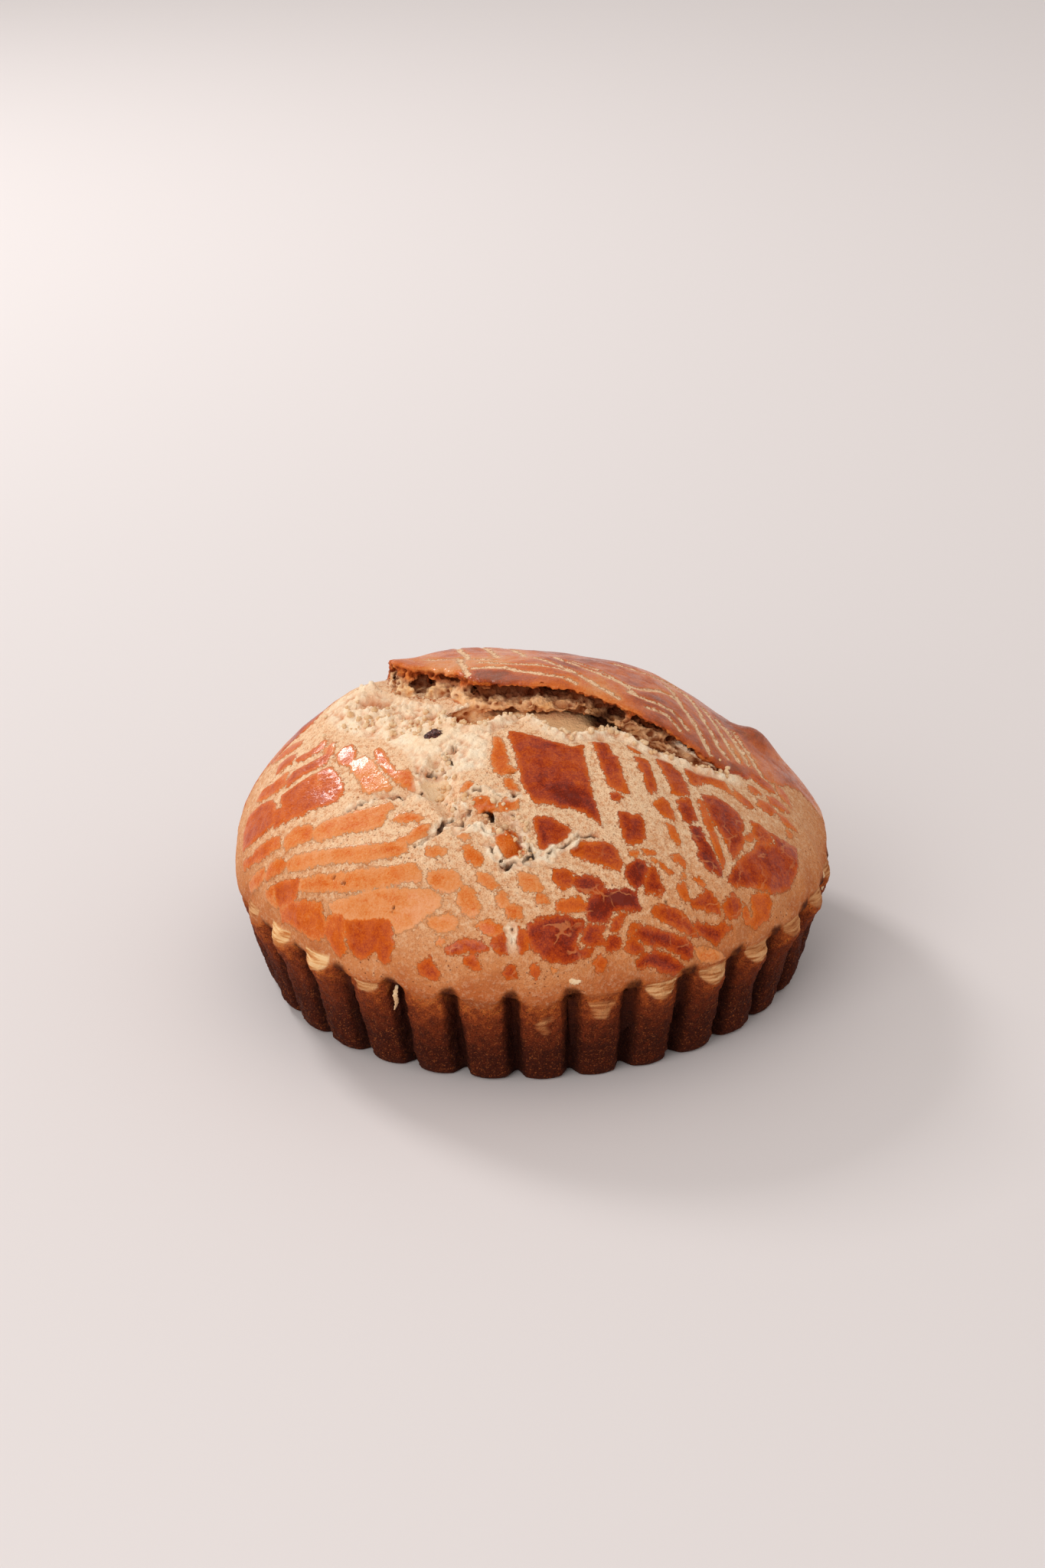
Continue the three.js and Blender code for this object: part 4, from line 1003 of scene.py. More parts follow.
def relief(points, mark, settings, noise):
    """How far each place is pushed out of the cake's plain form; adds the marks that this gives."""
    x, y, z = points.T
    u, v = flat_crust(points)
    torn, rough, tin = mark["torn"], mark["rough"], mark["tin"]
    (hu, hv), wide, high, sink = HOLLOW
    dish = np.hypot((u - hu) / wide, (v - hv) / high) + 0.15 * noise.lumps(points, 3)
    calm = np.maximum(1 - ease(dish, 0.75, 1.05), hill(np.hypot(x - CALM_AT[0], y - CALM_AT[1]), 5))
    slope = (1 - ease(mark["behind"], 5, 16)) * (x < 0)

    # the crust: broad waves, raised glaze, sandy grain and the blistered wall
    glazed = ease(mark["glaze"], -0.5, 0.5) * (1 - torn) * (1 - rough) * (1 - tin)
    shift = 0.4 * noise.fractal(points, 15, 2) * ease(z, 4, 34)
    shift += settings.glaze_raised / MM * glazed
    grain = noise.fractal(points, 1.4, 3, 0.6)
    shift += settings.grain / MM * grain * (1 - torn) * (1 + 1.6 * tin - 0.6 * glazed)
    shift += tin * (0.5 * noise.fractal(points, 9, 2) + 0.3 * (0.4 - noise.bubbles(points, 3.4)))

    # the torn wall's crumb and pores
    crumb = 1.1 * noise.crumbs(points * (0.9, 0.9, 1.3), 2.4) + 0.7 * noise.crumbs(points, 1.1)
    crumb = crumb + 0.5 * noise.lumps(points, 4)
    pores = 1 - ease(noise.bubbles(points * (0.9, 0.9, 1.2), 2.3), 0.14, 0.42)
    deep = settings.crumb_depth / MM
    shift += torn * deep * (crumb - 1.1 * pores) * (1 - 0.85 * mark["dough"])

    # the pale shoulder's loose crumb, and the trench's swollen lip
    loose = 1.3 * noise.crumbs(points, 3.0) + 0.7 * noise.crumbs(points + 9, 1.4)
    loose = loose + 0.5 * noise.lumps(points, 6)
    broken = 1 - ease(mark["around"], 1.5, 4.5)
    shift += rough * deep * loose * (0.75 + 1.7 * slope + 0.9 * broken) * (1 - 0.85 * calm)
    shift += rough * slope * 2.0 * noise.fractal(points, 6, 3) * (1 - calm)
    lip = (0.9 + 0.7 * noise.lumps(points, 2.6)) * hill(mark["pit"] - 1.0, 1.3)
    shift += lip * ease(mark["behind"], 3, 5) * (1 - torn)

    # the ledges' heads, the narrow cracks and holes, the currant's rim and the blisters
    shift += mark["head"] * (0.35 * noise.crumbs(points * (1, 1, 2.2), 2.0))
    gaps = ease(noise.lumps(points, 2.6), -0.3, 0.35)
    shift -= mark["sunk"] * (0.15 + 1.5 * gaps) + sink * (1 - ease(dish, 0.5, 1.05))
    shift += 0.5 * hill(np.hypot(x - CURRANT_AT[0], y - CURRANT_AT[1]) - 4.4, 1.3)
    ring = np.full(len(points), 9.0)
    for bu, bv in BLISTERS:
        ring = np.minimum(ring, np.hypot(u - bu, v - bv))
    shift += 0.3 * hill(ring - 0.7, 0.35) - 0.25 * hill(ring, 0.35)

    # painted shade: in the loose crumb's creases, and on the torn wall in its pores and between its crumbs
    creases = np.clip(-1.2 * loose - 0.05, 0, 1) * rough * (1 - calm)
    creases = np.where(torn > 0.3, np.clip(pores + 1.2 * (0.15 - crumb), 0, 1), creases)
    mark.update(calm=calm, gaps=gaps, creases=creases)
    return shift * ease(z, 0.15, 2.0) - 0.45 * ease(np.maximum(np.abs(x), np.abs(y)), 82.2, 83.2)


def colour_marks(points, mark):
    """What the crust's colours are mixed from, by the names that its material reads."""
    x, y, z = points.T
    torn, rough, dough = mark["torn"], mark["rough"], mark["dough"]
    # painted shade: near black in the cave at the right end of the split
    dark = hill(x - 20.5, 4.8) * ease(y, -13, -10.5) * (1 - ease(y, 2, 6))
    dark = dark * ease(z, 68, 71) * (1 - ease(z, 76.5, 79)) * torn
    found = {"glaze": mark["glaze"] - 2.5 * rough, "tone": mark["tone"], "torn": torn, "rough": rough,
             "calm": np.maximum(mark["calm"] * rough, dough), "tin": mark["tin"], "down": mark["down"],
             "head": mark["head"], "pale": mark["pale"], "crest": mark["crest"]}
    # painted shade in the cracks and small holes, and in that cave
    found["hollow"] = np.maximum(mark["near"] * mark["gaps"], dark)
    # painted shade in the creases and pores, left off the smooth dough
    found["creases"] = mark["creases"] * (1 - dough)
    # painted shade in the torn wall's recesses behind its plain line
    found["recess_shade"] = np.where(torn > 0.3, ease(-mark["flat_wall"], 0.3, 2.8), 0)
    found["under"] = np.clip((crust_height(x, y) + lid_lift(x, y) - z) / 12, 0, 1)
    found["lid"] = ease(-mark["behind"], -0.5, 0.5) * (1 - torn)
    return found


def build_cake(settings):
    """The cake as one mesh: drawn from the grid of distances, refined, and pushed out into relief."""
    pitch = settings.grid / MM
    body, marks, corner = cake_fields(pitch)
    points, quads = surface_of(body, corner, pitch)
    cake = mesh_object("cake_body", points, quads)
    mesh = cake.data
    noise = Noise(CAKE_SEED)
    fields = (marks, corner, pitch)
    mark = surface_marks(points, fields, noise)
    refine(mesh, (mark["torn"] > 0.05) | (mark["around"] < 3) | (mark["rough"] > 0.3))

    points, normals = mesh_places(mesh)
    mark = surface_marks(points, fields, noise)
    mark["rough"] = mark["rough"] * (1 - mark["torn"])
    mark["glaze"], mark["tone"] = glaze_layout(points, -mark["behind"], noise)
    mark["tin"], mark["down"], mark["head"], mark["pale"] = wall_marks(points, mark["crest"], noise)
    shift = relief(points, mark, settings, noise)
    low, high = (np.array(end) / MM for end in cad_box)
    pushed = np.clip(points + normals * shift[:, None], low + (0.02, 0.02, 0), high - 0.02)
    mesh.vertices.foreach_set("co", (pushed * MM).astype(np.float32).ravel())
    for name, values in colour_marks(points, mark).items():
        keep_attribute(mesh, name, values)
    lay_out(mesh, mark["torn"])
    mesh.update()
    return cake


def laid_about(middle, scale, across, up):
    """Places of the flat layout, spread about a middle of their own."""
    return np.stack([middle[0] + scale * across, middle[1] + scale * up], 1)


def lay_out(mesh, torn):
    """A flat layout of the whole surface, so that its colours can be kept as pictures."""
    corners = np.zeros(len(mesh.loops), np.int32)
    mesh.loops.foreach_get("vertex_index", corners)
    sizes = np.zeros(len(mesh.polygons), np.int32)
    mesh.polygons.foreach_get("loop_total", sizes)
    middles, normals = (np.zeros(len(mesh.polygons) * 3, np.float32) for _ in range(2))
    mesh.polygons.foreach_get("center", middles)
    mesh.polygons.foreach_get("normal", normals)
    middles = np.repeat(middles.reshape(-1, 3) / MM, sizes, 0)
    normals = np.repeat(normals.reshape(-1, 3), sizes, 0)
    places = mesh_places(mesh)[0][corners]
    x, y, z = places.T
    u, v = flat_crust(places)
    middle_az = np.arctan2(middles[:, 0], -middles[:, 1])
    turned = np.arctan2(x, -y) - middle_az
    az = middle_az + np.arctan2(np.sin(turned), np.cos(turned))
    laid = laid_about(CRUST_LAID_AT, LAID_SCALE, u, v)

    # the wall in two strips, one for each half of the cake
    left = middle_az < 0
    side = np.where(left, az + math.pi, az)
    strip = np.stack([0.005 + LAID_SCALE * side * 80, np.where(left, 0.01, 0.12) + LAID_SCALE * z], 1)
    on_wall = (middles[:, 2] < RIM_Z) & (normals[:, 2] > -0.75)
    under_lip = (middles[:, 2] < 33) & (normals[:, 2] < -0.3)
    laid = np.where((on_wall | under_lip)[:, None], strip, laid)

    # the torn faces by the way they face, and the foot
    broken = (torn[corners] > 0.5) & (middles[:, 2] > 45)
    column = laid_about(WALL_LAID_AT, LAID_SCALE, z - 60, x)
    floor = laid_about(FLOOR_LAID_AT, LAID_SCALE, y + 34, x)
    hidden = laid_about(HIDDEN_LAID_AT, 0.5 * LAID_SCALE, z - 60, x)
    column = np.where((normals[:, 1] > 0.1)[:, None], hidden, column)
    laid = np.where(broken[:, None], np.where((normals[:, 2] > 0.6)[:, None], floor, column), laid)
    on_foot = (normals[:, 2] < -0.75) & (middles[:, 2] < 3)
    laid = np.where(on_foot[:, None], laid_about(FOOT_LAID_AT, FOOT_LAID_SCALE, x, y), laid)
    layer = mesh.uv_layers.new(name="OFBake")
    layer.data.foreach_set("uv", np.clip(laid, 0, 1).astype(np.float32).ravel())


def build_currant(settings):
    """A wrinkled currant, half sunk in the crust."""
    bm = bmesh.new()
    bmesh.ops.create_icosphere(bm, subdivisions=6, radius=1)
    mesh = bpy.data.meshes.new("currant_body")
    bm.to_mesh(mesh)
    bm.free()
    unit, _ = mesh_places(mesh)
    unit = unit * MM
    noise = Noise(CURRANT_SEED)
    around = np.arctan2(unit[:, 2], unit[:, 0])
    wavy = noise.lumps(unit * 3, 2.4)
    folds = 0.07 * np.sin(5 * around) * (1 - unit[:, 1] ** 2)
    wrinkles = -np.abs(noise.lumps(unit * (5, 2.4, 5), 1.3)) * 0.26
    wrinkles = wrinkles - np.abs(noise.lumps(unit * 9 + 4, 1.6)) * 0.09
    shape = unit * (1 + folds + 0.05 * wavy + wrinkles + 0.04)[:, None]
    size = np.array((settings.length, settings.width, settings.height)) / MM / 2
    cos, sin = math.cos(CURRANT_TURN), math.sin(CURRANT_TURN)
    spin = np.array([[cos, -sin, 0], [sin, cos, 0], [0, 0, 1]])
    middle = np.array((*CURRANT_AT, 0.0))
    middle[2] = crust_height(middle[0], middle[1]) - CURRANT_SUNK
    points = (shape * size) @ spin.T + middle
    mesh.vertices.foreach_set("co", (points * MM).astype(np.float32).ravel())
    keep_attribute(mesh, "fold", np.clip(-wrinkles * 6, 0, 1))
    mesh.update()
    return placed("currant_body", mesh)


def ribbon(line, width, thick, twist):
    """A thin curled flake along a line of points, as a closed strip of quads."""
    line = smooth_curve(line, 14)
    count, sides = len(line), len(FLAKE_SECTION)
    rings = []
    for k, place in enumerate(line):
        ahead = line[min(k + 1, count - 1)] - line[max(k - 1, 0)]
        ahead = ahead / np.linalg.norm(ahead)
        out = np.array((place[0], place[1], 0.0)) / np.hypot(place[0], place[1])
        side = np.cross(ahead, out)
        side = side / np.linalg.norm(side)
        face = np.cross(side, ahead)
        turn = twist * k / (count - 1)
        cos, sin = math.cos(turn), math.sin(turn)
        broad, thin = side * cos + face * sin, face * cos - side * sin
        taper = 0.3 + 0.7 * math.sin(math.pi * (0.12 + 0.8 * k / (count - 1)))
        half = 0.5 * width * taper * (1 + 0.25 * math.sin(2.7 * k))
        rings.append([place + broad * half * a + thin * thick * b for a, b in FLAKE_SECTION])
    faces = []
    for k in range(count - 1):
        for i in range(sides):
            here, beside = k * sides + i, k * sides + (i + 1) % sides
            faces.append([here, beside, beside + sides, here + sides])
    last = (count - 1) * sides
    caps = ((0, 1, 6, 7), (1, 2, 5, 6), (2, 3, 4, 5))
    faces += [list(cap[::-1]) for cap in caps]
    faces += [[last + i for i in cap] for cap in caps]
    return np.array(rings).reshape(-1, 3), faces


def build_flakes():
    """The flakes of crust that hang on the wall."""
    points, faces = [], []
    for line, width, thick, twist in FLAKES:
        some, quads = ribbon(line, width, thick, twist)
        first = sum(len(part) for part in points)
        faces += [[first + index for index in quad] for quad in quads]
        points.append(some)
    return mesh_object("flakes", np.concatenate(points), np.array(faces))


def build_crumbs(settings):
    """Loose crumbs lying along the split, on the pale shoulder and round the cracks."""
    rng = np.random.default_rng(settings.crumb_seed)
    cake = bpy.data.objects["cake_body"].data
    tree = BVHTree.FromPolygons([v.co[:] for v in cake.vertices], [p.vertices[:] for p in cake.polygons])
    bm = bmesh.new()
    bmesh.ops.create_icosphere(bm, subdivisions=2, radius=1)
    blank = np.array([v.co[:] for v in bm.verts])
    triangles = np.array([[v.index for v in face.verts] for face in bm.faces])
    bm.free()
    noise = Noise(CRUMB_SEED)
    lines = [smooth_curve(line, steps)[:, :2] for line, steps, _, _ in CRUMB_LINES]
    shares = [share for _, _, _, share in CRUMB_LINES]
    points, faces = [], []
    for _ in range(settings.crumb_count):
        chosen = rng.choice(len(lines), p=shares)
        line, spread = lines[chosen], CRUMB_LINES[chosen][2]
        x, y = line[rng.integers(len(line))] + rng.normal(0, spread / 2, 2)
        hit, normal, _, _ = tree.ray_cast(Vector((x * MM, y * MM, 0.2)), Vector((0, 0, -1)))
        if hit is None or normal.z < 0.5:
            continue
        size = 0.32 + 0.6 * rng.random() ** 3
        swell = 1 + 0.35 * noise.lumps(blank * 2 + rng.uniform(0, 40, 3), 1.4)
        swell = swell + 0.2 * noise.lumps(blank * 4 + rng.uniform(0, 40, 3), 1.4)
        some = blank * swell[:, None] * size * rng.uniform(0.7, 1.2, 3)
        faces.append(triangles + len(blank) * len(points))
        points.append(some + np.array(hit) / MM + np.array(normal) * size * 0.45)
    return mesh_object("crumbs", np.concatenate(points), np.concatenate(faces))


# ---- materials ----
def tint(red, green, blue):
    """A colour as it is seen on a screen, 0 to 255, as the renderer counts it."""
    return tuple(c / 255 / 12.92 if c <= 10 else ((c / 255 + 0.055) / 1.055) ** 2.4
                 for c in (red, green, blue))


class Paint:
    """A node tree that is written as sums: each call adds one node and gives its output."""

    def __init__(self, name):
        self.material = bpy.data.materials.new(name)
        self.material.use_nodes = True
        self.tree = self.material.node_tree
        self.shader = self.tree.nodes["Principled BSDF"]

    def put(self, socket, value):
        """Links an output to a socket, or gives the socket a plain value."""
        if hasattr(value, "is_output"):
            self.tree.links.new(value, socket)
        else:
            socket.default_value = value

    def set(self, name, value):
        self.put(self.shader.inputs[name], value)

    def node(self, kind, inputs=(), **settings):
        node = self.tree.nodes.new(kind)
        for key, value in settings.items():
            setattr(node, key, value)
        for key, value in dict(inputs).items():
            self.put(node.inputs[key], value)
        return node

    def attribute(self, name):
        return self.node("ShaderNodeAttribute", attribute_name=name).outputs["Fac"]

    def places(self):
        return self.node("ShaderNodeTexCoord").outputs["Object"]

    def math(self, operation, a, b=0.0, c=0.0):
        return self.node("ShaderNodeMath", {0: a, 1: b, 2: c}, operation=operation).outputs[0]

    def times(self, a, b):
        return self.math("MULTIPLY", a, b)

    def times_plus(self, a, b, c):
        return self.math("MULTIPLY_ADD", a, b, c)

    def stir(self, value, noise, strength):
        """Shifts a value up and down by noise about its middle."""
        return self.times_plus(self.math("SUBTRACT", noise, 0.5), strength, value)

    def ease(self, value, start, end, low=0.0, high=1.0):
        found = self.node("ShaderNodeMapRange", {"Value": value, "From Min": start, "From Max": end,
                                                 "To Min": low, "To Max": high},
                          interpolation_type="SMOOTHSTEP")
        return found.outputs["Result"]

    def noise(self, size, detail=2.0, rough=0.5, stretch=(1, 1, 1)):
        """Even noise from 0 to 1 with lumps of about the given size in millimetres."""
        where = self.node("ShaderNodeMapping", {"Vector": self.places(), "Scale": stretch}).outputs[0]
        return self.node("ShaderNodeTexNoise", {"Vector": where, "Scale": 1000 / size, "Detail": detail,
                                                "Roughness": rough}).outputs["Fac"]

    def cells(self, size):
        """How far each place is from the middle of its scattered cell, as a share of the cells' size."""
        where = {"Vector": self.places(), "Scale": 1000 / size}
        return self.node("ShaderNodeTexVoronoi", where).outputs["Distance"]

    def seams(self, size):
        """How far each place is from the edges of irregular cells, as a share of their size."""
        wavy = self.node("ShaderNodeTexNoise", {"Vector": self.places(), "Scale": 300.0, "Detail": 2.0})
        where = self.node("ShaderNodeVectorMath", {0: wavy.outputs["Color"], 1: (0.004, 0.004, 0.004)},
                          operation="MULTIPLY").outputs[0]
        where = self.node("ShaderNodeVectorMath", {0: where, 1: self.places()}, operation="ADD").outputs[0]
        return self.node("ShaderNodeTexVoronoi", {"Vector": where, "Scale": 1000 / size},
                         feature="DISTANCE_TO_EDGE").outputs["Distance"]

    def mix(self, share, a, b):
        """A colour between two: the first where the share is 0, the second where it is 1."""
        node = self.node("ShaderNodeMix", {0: share}, data_type="RGBA")
        for key, value in ((6, a), (7, b)):
            self.put(node.inputs[key], value if hasattr(value, "is_output") else (*value, 1))
        return node.outputs[2]

    def ramp(self, value, stops):
        """A colour for each value, from (value, colour) stops."""
        node = self.node("ShaderNodeValToRGB", {"Fac": value})
        marks = node.color_ramp.elements
        while len(marks) < len(stops):
            marks.new(0.5)
        for mark, (place, colour) in zip(marks, stops):
            mark.position = place
            mark.color = (*colour, 1)
        return node.outputs["Color"]

    def bump(self, height, distance, strength):
        return self.node("ShaderNodeBump", {"Height": height, "Distance": distance,
                                            "Strength": strength}).outputs[0]


class CrustPaint(Paint):
    """The cake's material, mixed from the marks that are kept on its mesh."""

    MARKS = ("glaze", "tone", "torn", "rough", "calm", "tin", "down", "head", "pale",
             "crest", "hollow", "creases", "recess_shade", "under", "lid")

    def __init__(self, colours):
        super().__init__("crust")
        self.colours = colours
        place = self.node("ShaderNodeSeparateXYZ", {0: self.places()}).outputs
        self.x, self.z = place["X"], place["Z"]
        self.at = {name: self.attribute(name) for name in self.MARKS}
        self.broad, self.middle = self.noise(11, 3), self.noise(2.2, 3)
        self.fine, self.dust = self.noise(0.9, 3), self.noise(0.4, 2)
        self.grain = self.times_plus(self.dust, 0.6, self.times(self.fine, 0.4))
        self.sand = self.noise(1.5, 3, 0.7)
        edge = self.stir(self.at["glaze"], self.middle, 1.2)
        edge = self.stir(edge, self.grain, 2.2)
        edge = self.stir(edge, self.sand, -2.6)
        self.is_glazed = self.ease(edge, -0.3, 0.3)
        self.colour_all()
        self.finish_surface()

    def plain_crust(self):
        """Pale on top, tan and then brown towards the rim, sandy all over."""
        colours = self.colours
        level = self.math("ADD", self.times(self.z, 14), self.times_plus(self.broad, 0.3, -0.15))
        plain = self.ramp(level, [(0.28, colours.plain_rim), (0.4, tint(182, 96, 48)),
                                  (0.5, colours.plain_tan), (0.66, tint(222, 160, 112)),
                                  (0.9, colours.plain_top)])
        plain = self.mix(self.ease(self.dust, 0.5, 0.66, 0, 0.6), plain, tint(184, 108, 64))
        light = self.times(self.ease(self.fine, 0.52, 0.7, 0, 0.55), self.ease(self.z, 0.034, 0.06, 0.35, 1))
        plain = self.mix(light, plain, tint(240, 202, 162))
        sparse = self.ease(self.broad, 0.42, 0.6, 0, 0.8)
        pore = self.times(self.ease(self.cells(1.6), 0.1, 0.2, 1, 0), sparse)
        plain = self.mix(pore, plain, tint(104, 50, 28))
        sandy = self.ease(self.z, 0.034, 0.06, 0.12, 0.5)
        plain = self.mix(self.times(self.ease(self.sand, 0.53, 0.62), sandy), plain, tint(252, 218, 178))
        return self.mix(self.times(self.ease(self.sand, 0.47, 0.38), sandy), plain, tint(202, 118, 58))

    def glazed_crust(self):
        """Deeper brown inside a patch than along its edge, paler and drier on the lid."""
        at, colours = self.at, self.colours
        brown = self.stir(at["tone"], self.middle, 0.22)
        brown = self.stir(brown, self.broad, 0.28)
        brown = self.stir(brown, self.grain, 0.62)
        brown = self.times(brown, self.ease(at["glaze"], -0.2, 2.2, 0.8, 1.02))
        glazed = self.ramp(brown, [(0.3, tint(228, 154, 100)), (0.46, colours.glaze_light),
                                   (0.6, tint(210, 98, 22)), (0.74, colours.glaze_brown),
                                   (0.85, tint(166, 58, 14)), (0.94, colours.glaze_dark),
                                   (1.0, tint(114, 32, 12))])
        glazed = self.mix(self.times(at["lid"], 0.22), glazed, tint(204, 136, 88))
        crazed = self.times(self.ease(self.seams(5), 0.02, 0.06, 0.6, 0), self.ease(self.z, 0.066, 0.052))
        crazed = self.times(crazed, self.ease(at["tone"], 0.74, 0.84))
        crazed = self.times(crazed, self.ease(self.noise(7, 1), 0.5, 0.6))
        return self.mix(crazed, glazed, tint(206, 122, 70))

    def crumb(self):
        """Cream with toasted spots."""
        colours = self.colours
        toast = self.times_plus(self.middle, 0.55, self.times(self.broad, 0.45))
        return self.ramp(toast, [(0.38, colours.crumb_pale), (0.55, tint(250, 208, 156)),
                                 (0.66, colours.crumb_toasted), (0.76, tint(186, 100, 44))])

    def pale_shoulder(self, crumb):
        """The dough that stayed pale beside the split, with painted shade in its creases."""
        pale = self.mix(0.4, crumb, tint(255, 240, 222))
        pale = self.mix(self.at["calm"], pale, tint(252, 220, 180))
        # painted shade in the creases of the loose crumb
        return self.mix(self.times(self.at["creases"], 0.85), pale, tint(206, 116, 52))

    def torn_wall(self, crumb):
        """Browned just under the lid's crust; painted shade darkens its caves, pores and recesses, most just
        under the lid, and a painted warm shade tints its crumb, more towards the right.
        """
        at = self.at
        lip = self.ramp(self.middle, [(0.35, tint(232, 136, 60)), (0.5, tint(200, 92, 30)),
                                      (0.64, tint(136, 50, 16))])
        near_lid = self.ease(self.times_plus(self.middle, 0.12, at["under"]), 0.26, 0.46, 0.95, 0)
        # painted warm shade: the crumb under the lid is tinted orange, more from the middle rightwards
        torn = self.mix(self.ease(self.x, -0.032, -0.012, 0.1, 0.5), crumb, tint(238, 158, 88))
        torn = self.mix(near_lid, torn, lip)
        # painted shade in the pores and caves, darkest just under the lid
        cave = self.mix(self.ease(at["under"], 0.2, 0.75), tint(126, 46, 12), tint(186, 96, 38))
        torn = self.mix(self.times(at["creases"], 0.9), torn, cave)
        # painted shade in the recesses, weaker further down
        inside = self.times(at["recess_shade"], self.ease(at["under"], 0.5, 1.0, 0.92, 0.45))
        torn = self.mix(inside, torn, tint(104, 40, 14))
        return self.mix(self.times(at["calm"], 0.9), torn, tint(255, 206, 152))

    def browned_wall(self):
        """Orange-brown at its top, darker further down, grainy, with painted shade in the grooves."""
        colours = self.colours
        grainy = self.times_plus(self.fine, 0.5, self.times(self.middle, 0.5))
        lower = self.stir(self.at["down"], grainy, -1.9)
        wall = self.ramp(lower, [(0.0, colours.wall_top), (0.16, tint(156, 72, 30)),
                                 (0.4, tint(114, 46, 20)), (0.95, colours.wall_foot)])
        wall = self.mix(self.ease(self.grain, 0.53, 0.64, 0, 0.75), wall, tint(40, 16, 10))
        wall = self.mix(self.ease(self.grain, 0.46, 0.36, 0, 0.45), wall, tint(180, 98, 50))
        # painted shade in the grooves between the flutes
        return self.mix(self.ease(self.at["crest"], 0.55, 0.0, 0, 0.75), wall, tint(34, 13, 9))

    def ledge_heads(self):
        """The layered crumb of the broken ledges, from brown to pale."""
        layers = self.noise(1.6, 2, stretch=(0.25, 0.25, 2.2))
        dark, pale = (self.ramp(layers, list(zip((0.35, 0.5, 0.65), tints))) for tints in (
            (tint(120, 54, 26), tint(164, 84, 38), tint(200, 124, 66)),
            (tint(196, 118, 60), tint(232, 176, 118), tint(244, 204, 152))))
        return self.mix(self.at["pale"], dark, pale)

    def colour_all(self):
        at, crumb = self.at, self.crumb()
        colour = self.mix(self.is_glazed, self.plain_crust(), self.glazed_crust())
        colour = self.mix(self.times(at["rough"], 0.9), colour, self.pale_shoulder(crumb))
        colour = self.mix(at["torn"], colour, self.torn_wall(crumb))
        # painted shade in the cracks, the small holes and the cave at the split's right end
        colour = self.mix(self.times(at["hollow"], 0.92), colour, tint(62, 24, 12))
        colour = self.mix(at["tin"], colour, self.browned_wall())
        self.set("Base Color", self.mix(at["head"], colour, self.ledge_heads()))

    def finish_surface(self):
        """Dry and sandy, with a streaky shine on the glaze."""
        at = self.at
        self.set("Specular IOR Level", 0.06)
        soft = self.math("MAXIMUM", at["torn"], self.math("MAXIMUM", at["rough"], at["tin"]))
        gloss = self.times(self.is_glazed, self.math("SUBTRACT", 1, soft))
        self.set("Roughness", self.times_plus(gloss, -0.34, self.ease(self.middle, 0.3, 0.7, 0.6, 0.74)))
        height = self.times_plus(self.fine, 0.5, self.times(self.dust, 0.4))
        height = self.times_plus(self.sand, 0.7, height)
        height = self.times(height, self.times_plus(gloss, -0.55, 1))
        self.set("Normal", self.bump(height, 0.0009, 0.9))
        streaks = self.ease(self.noise(4, 3), 0.42, 0.56, 0.06, 0.34)
        self.set("Coat Weight", self.times(gloss, streaks))
        self.set("Coat Roughness", 0.09)
        self.set("Coat Normal", self.bump(self.fine, 0.0004, 0.2))


def currant_material(colour):
    paint = Paint("currant")
    fold = paint.attribute("fold")
    skin = paint.ramp(paint.noise(0.7, 3), [(0.35, (0.02, 0.005, 0.004)), (0.6, colour),
                                            (0.75, (0.16, 0.05, 0.035))])
    # a pale sugar bloom with painted glints, in spots on the currant's raised skin
    bloom_and_glints = paint.times(paint.ease(fold, 0.35, 0.0), paint.ease(paint.noise(0.9, 2), 0.56, 0.64, 0, 0.8))
    paint.set("Base Color", paint.mix(bloom_and_glints, skin, tint(214, 176, 156)))
    paint.set("Roughness", paint.ease(paint.noise(0.9, 2), 0.3, 0.7, 0.34, 0.55))
    paint.set("Specular IOR Level", 0.3)
    paint.set("Normal", paint.bump(paint.noise(0.35, 2), 0.0003, 0.5))
    return paint.material


def crumb_material(name, pale, brown):
    paint = Paint(name)
    broad, fine = paint.noise(5, 2), paint.noise(0.6, 2)
    mixed = paint.times_plus(fine, 0.4, paint.times(broad, 0.6))
    paint.set("Base Color", paint.ramp(mixed, [(0.38, pale), (0.62, brown)]))
    paint.set("Roughness", 0.75)
    paint.set("Specular IOR Level", 0.3)
    paint.set("Normal", paint.bump(fine, 0.0004, 0.6))
    return paint.material


# ---- settings ----
def colour_property(name, description, default):
    return FloatVectorProperty(name=name, description=description, subtype="COLOR", size=3,
                               min=0, max=1, default=default)


def length_property(name, description, default):
    return FloatProperty(name=name, description=description, unit="LENGTH", subtype="DISTANCE",
                         precision=5, min=0, default=default)


def strength_property(name, description, default, unit="NONE"):
    return FloatProperty(name=name, description=description, unit=unit, min=0, default=default)


def whole_property(name, description, least, default):
    return IntProperty(name=name, description=description, min=least, default=default)


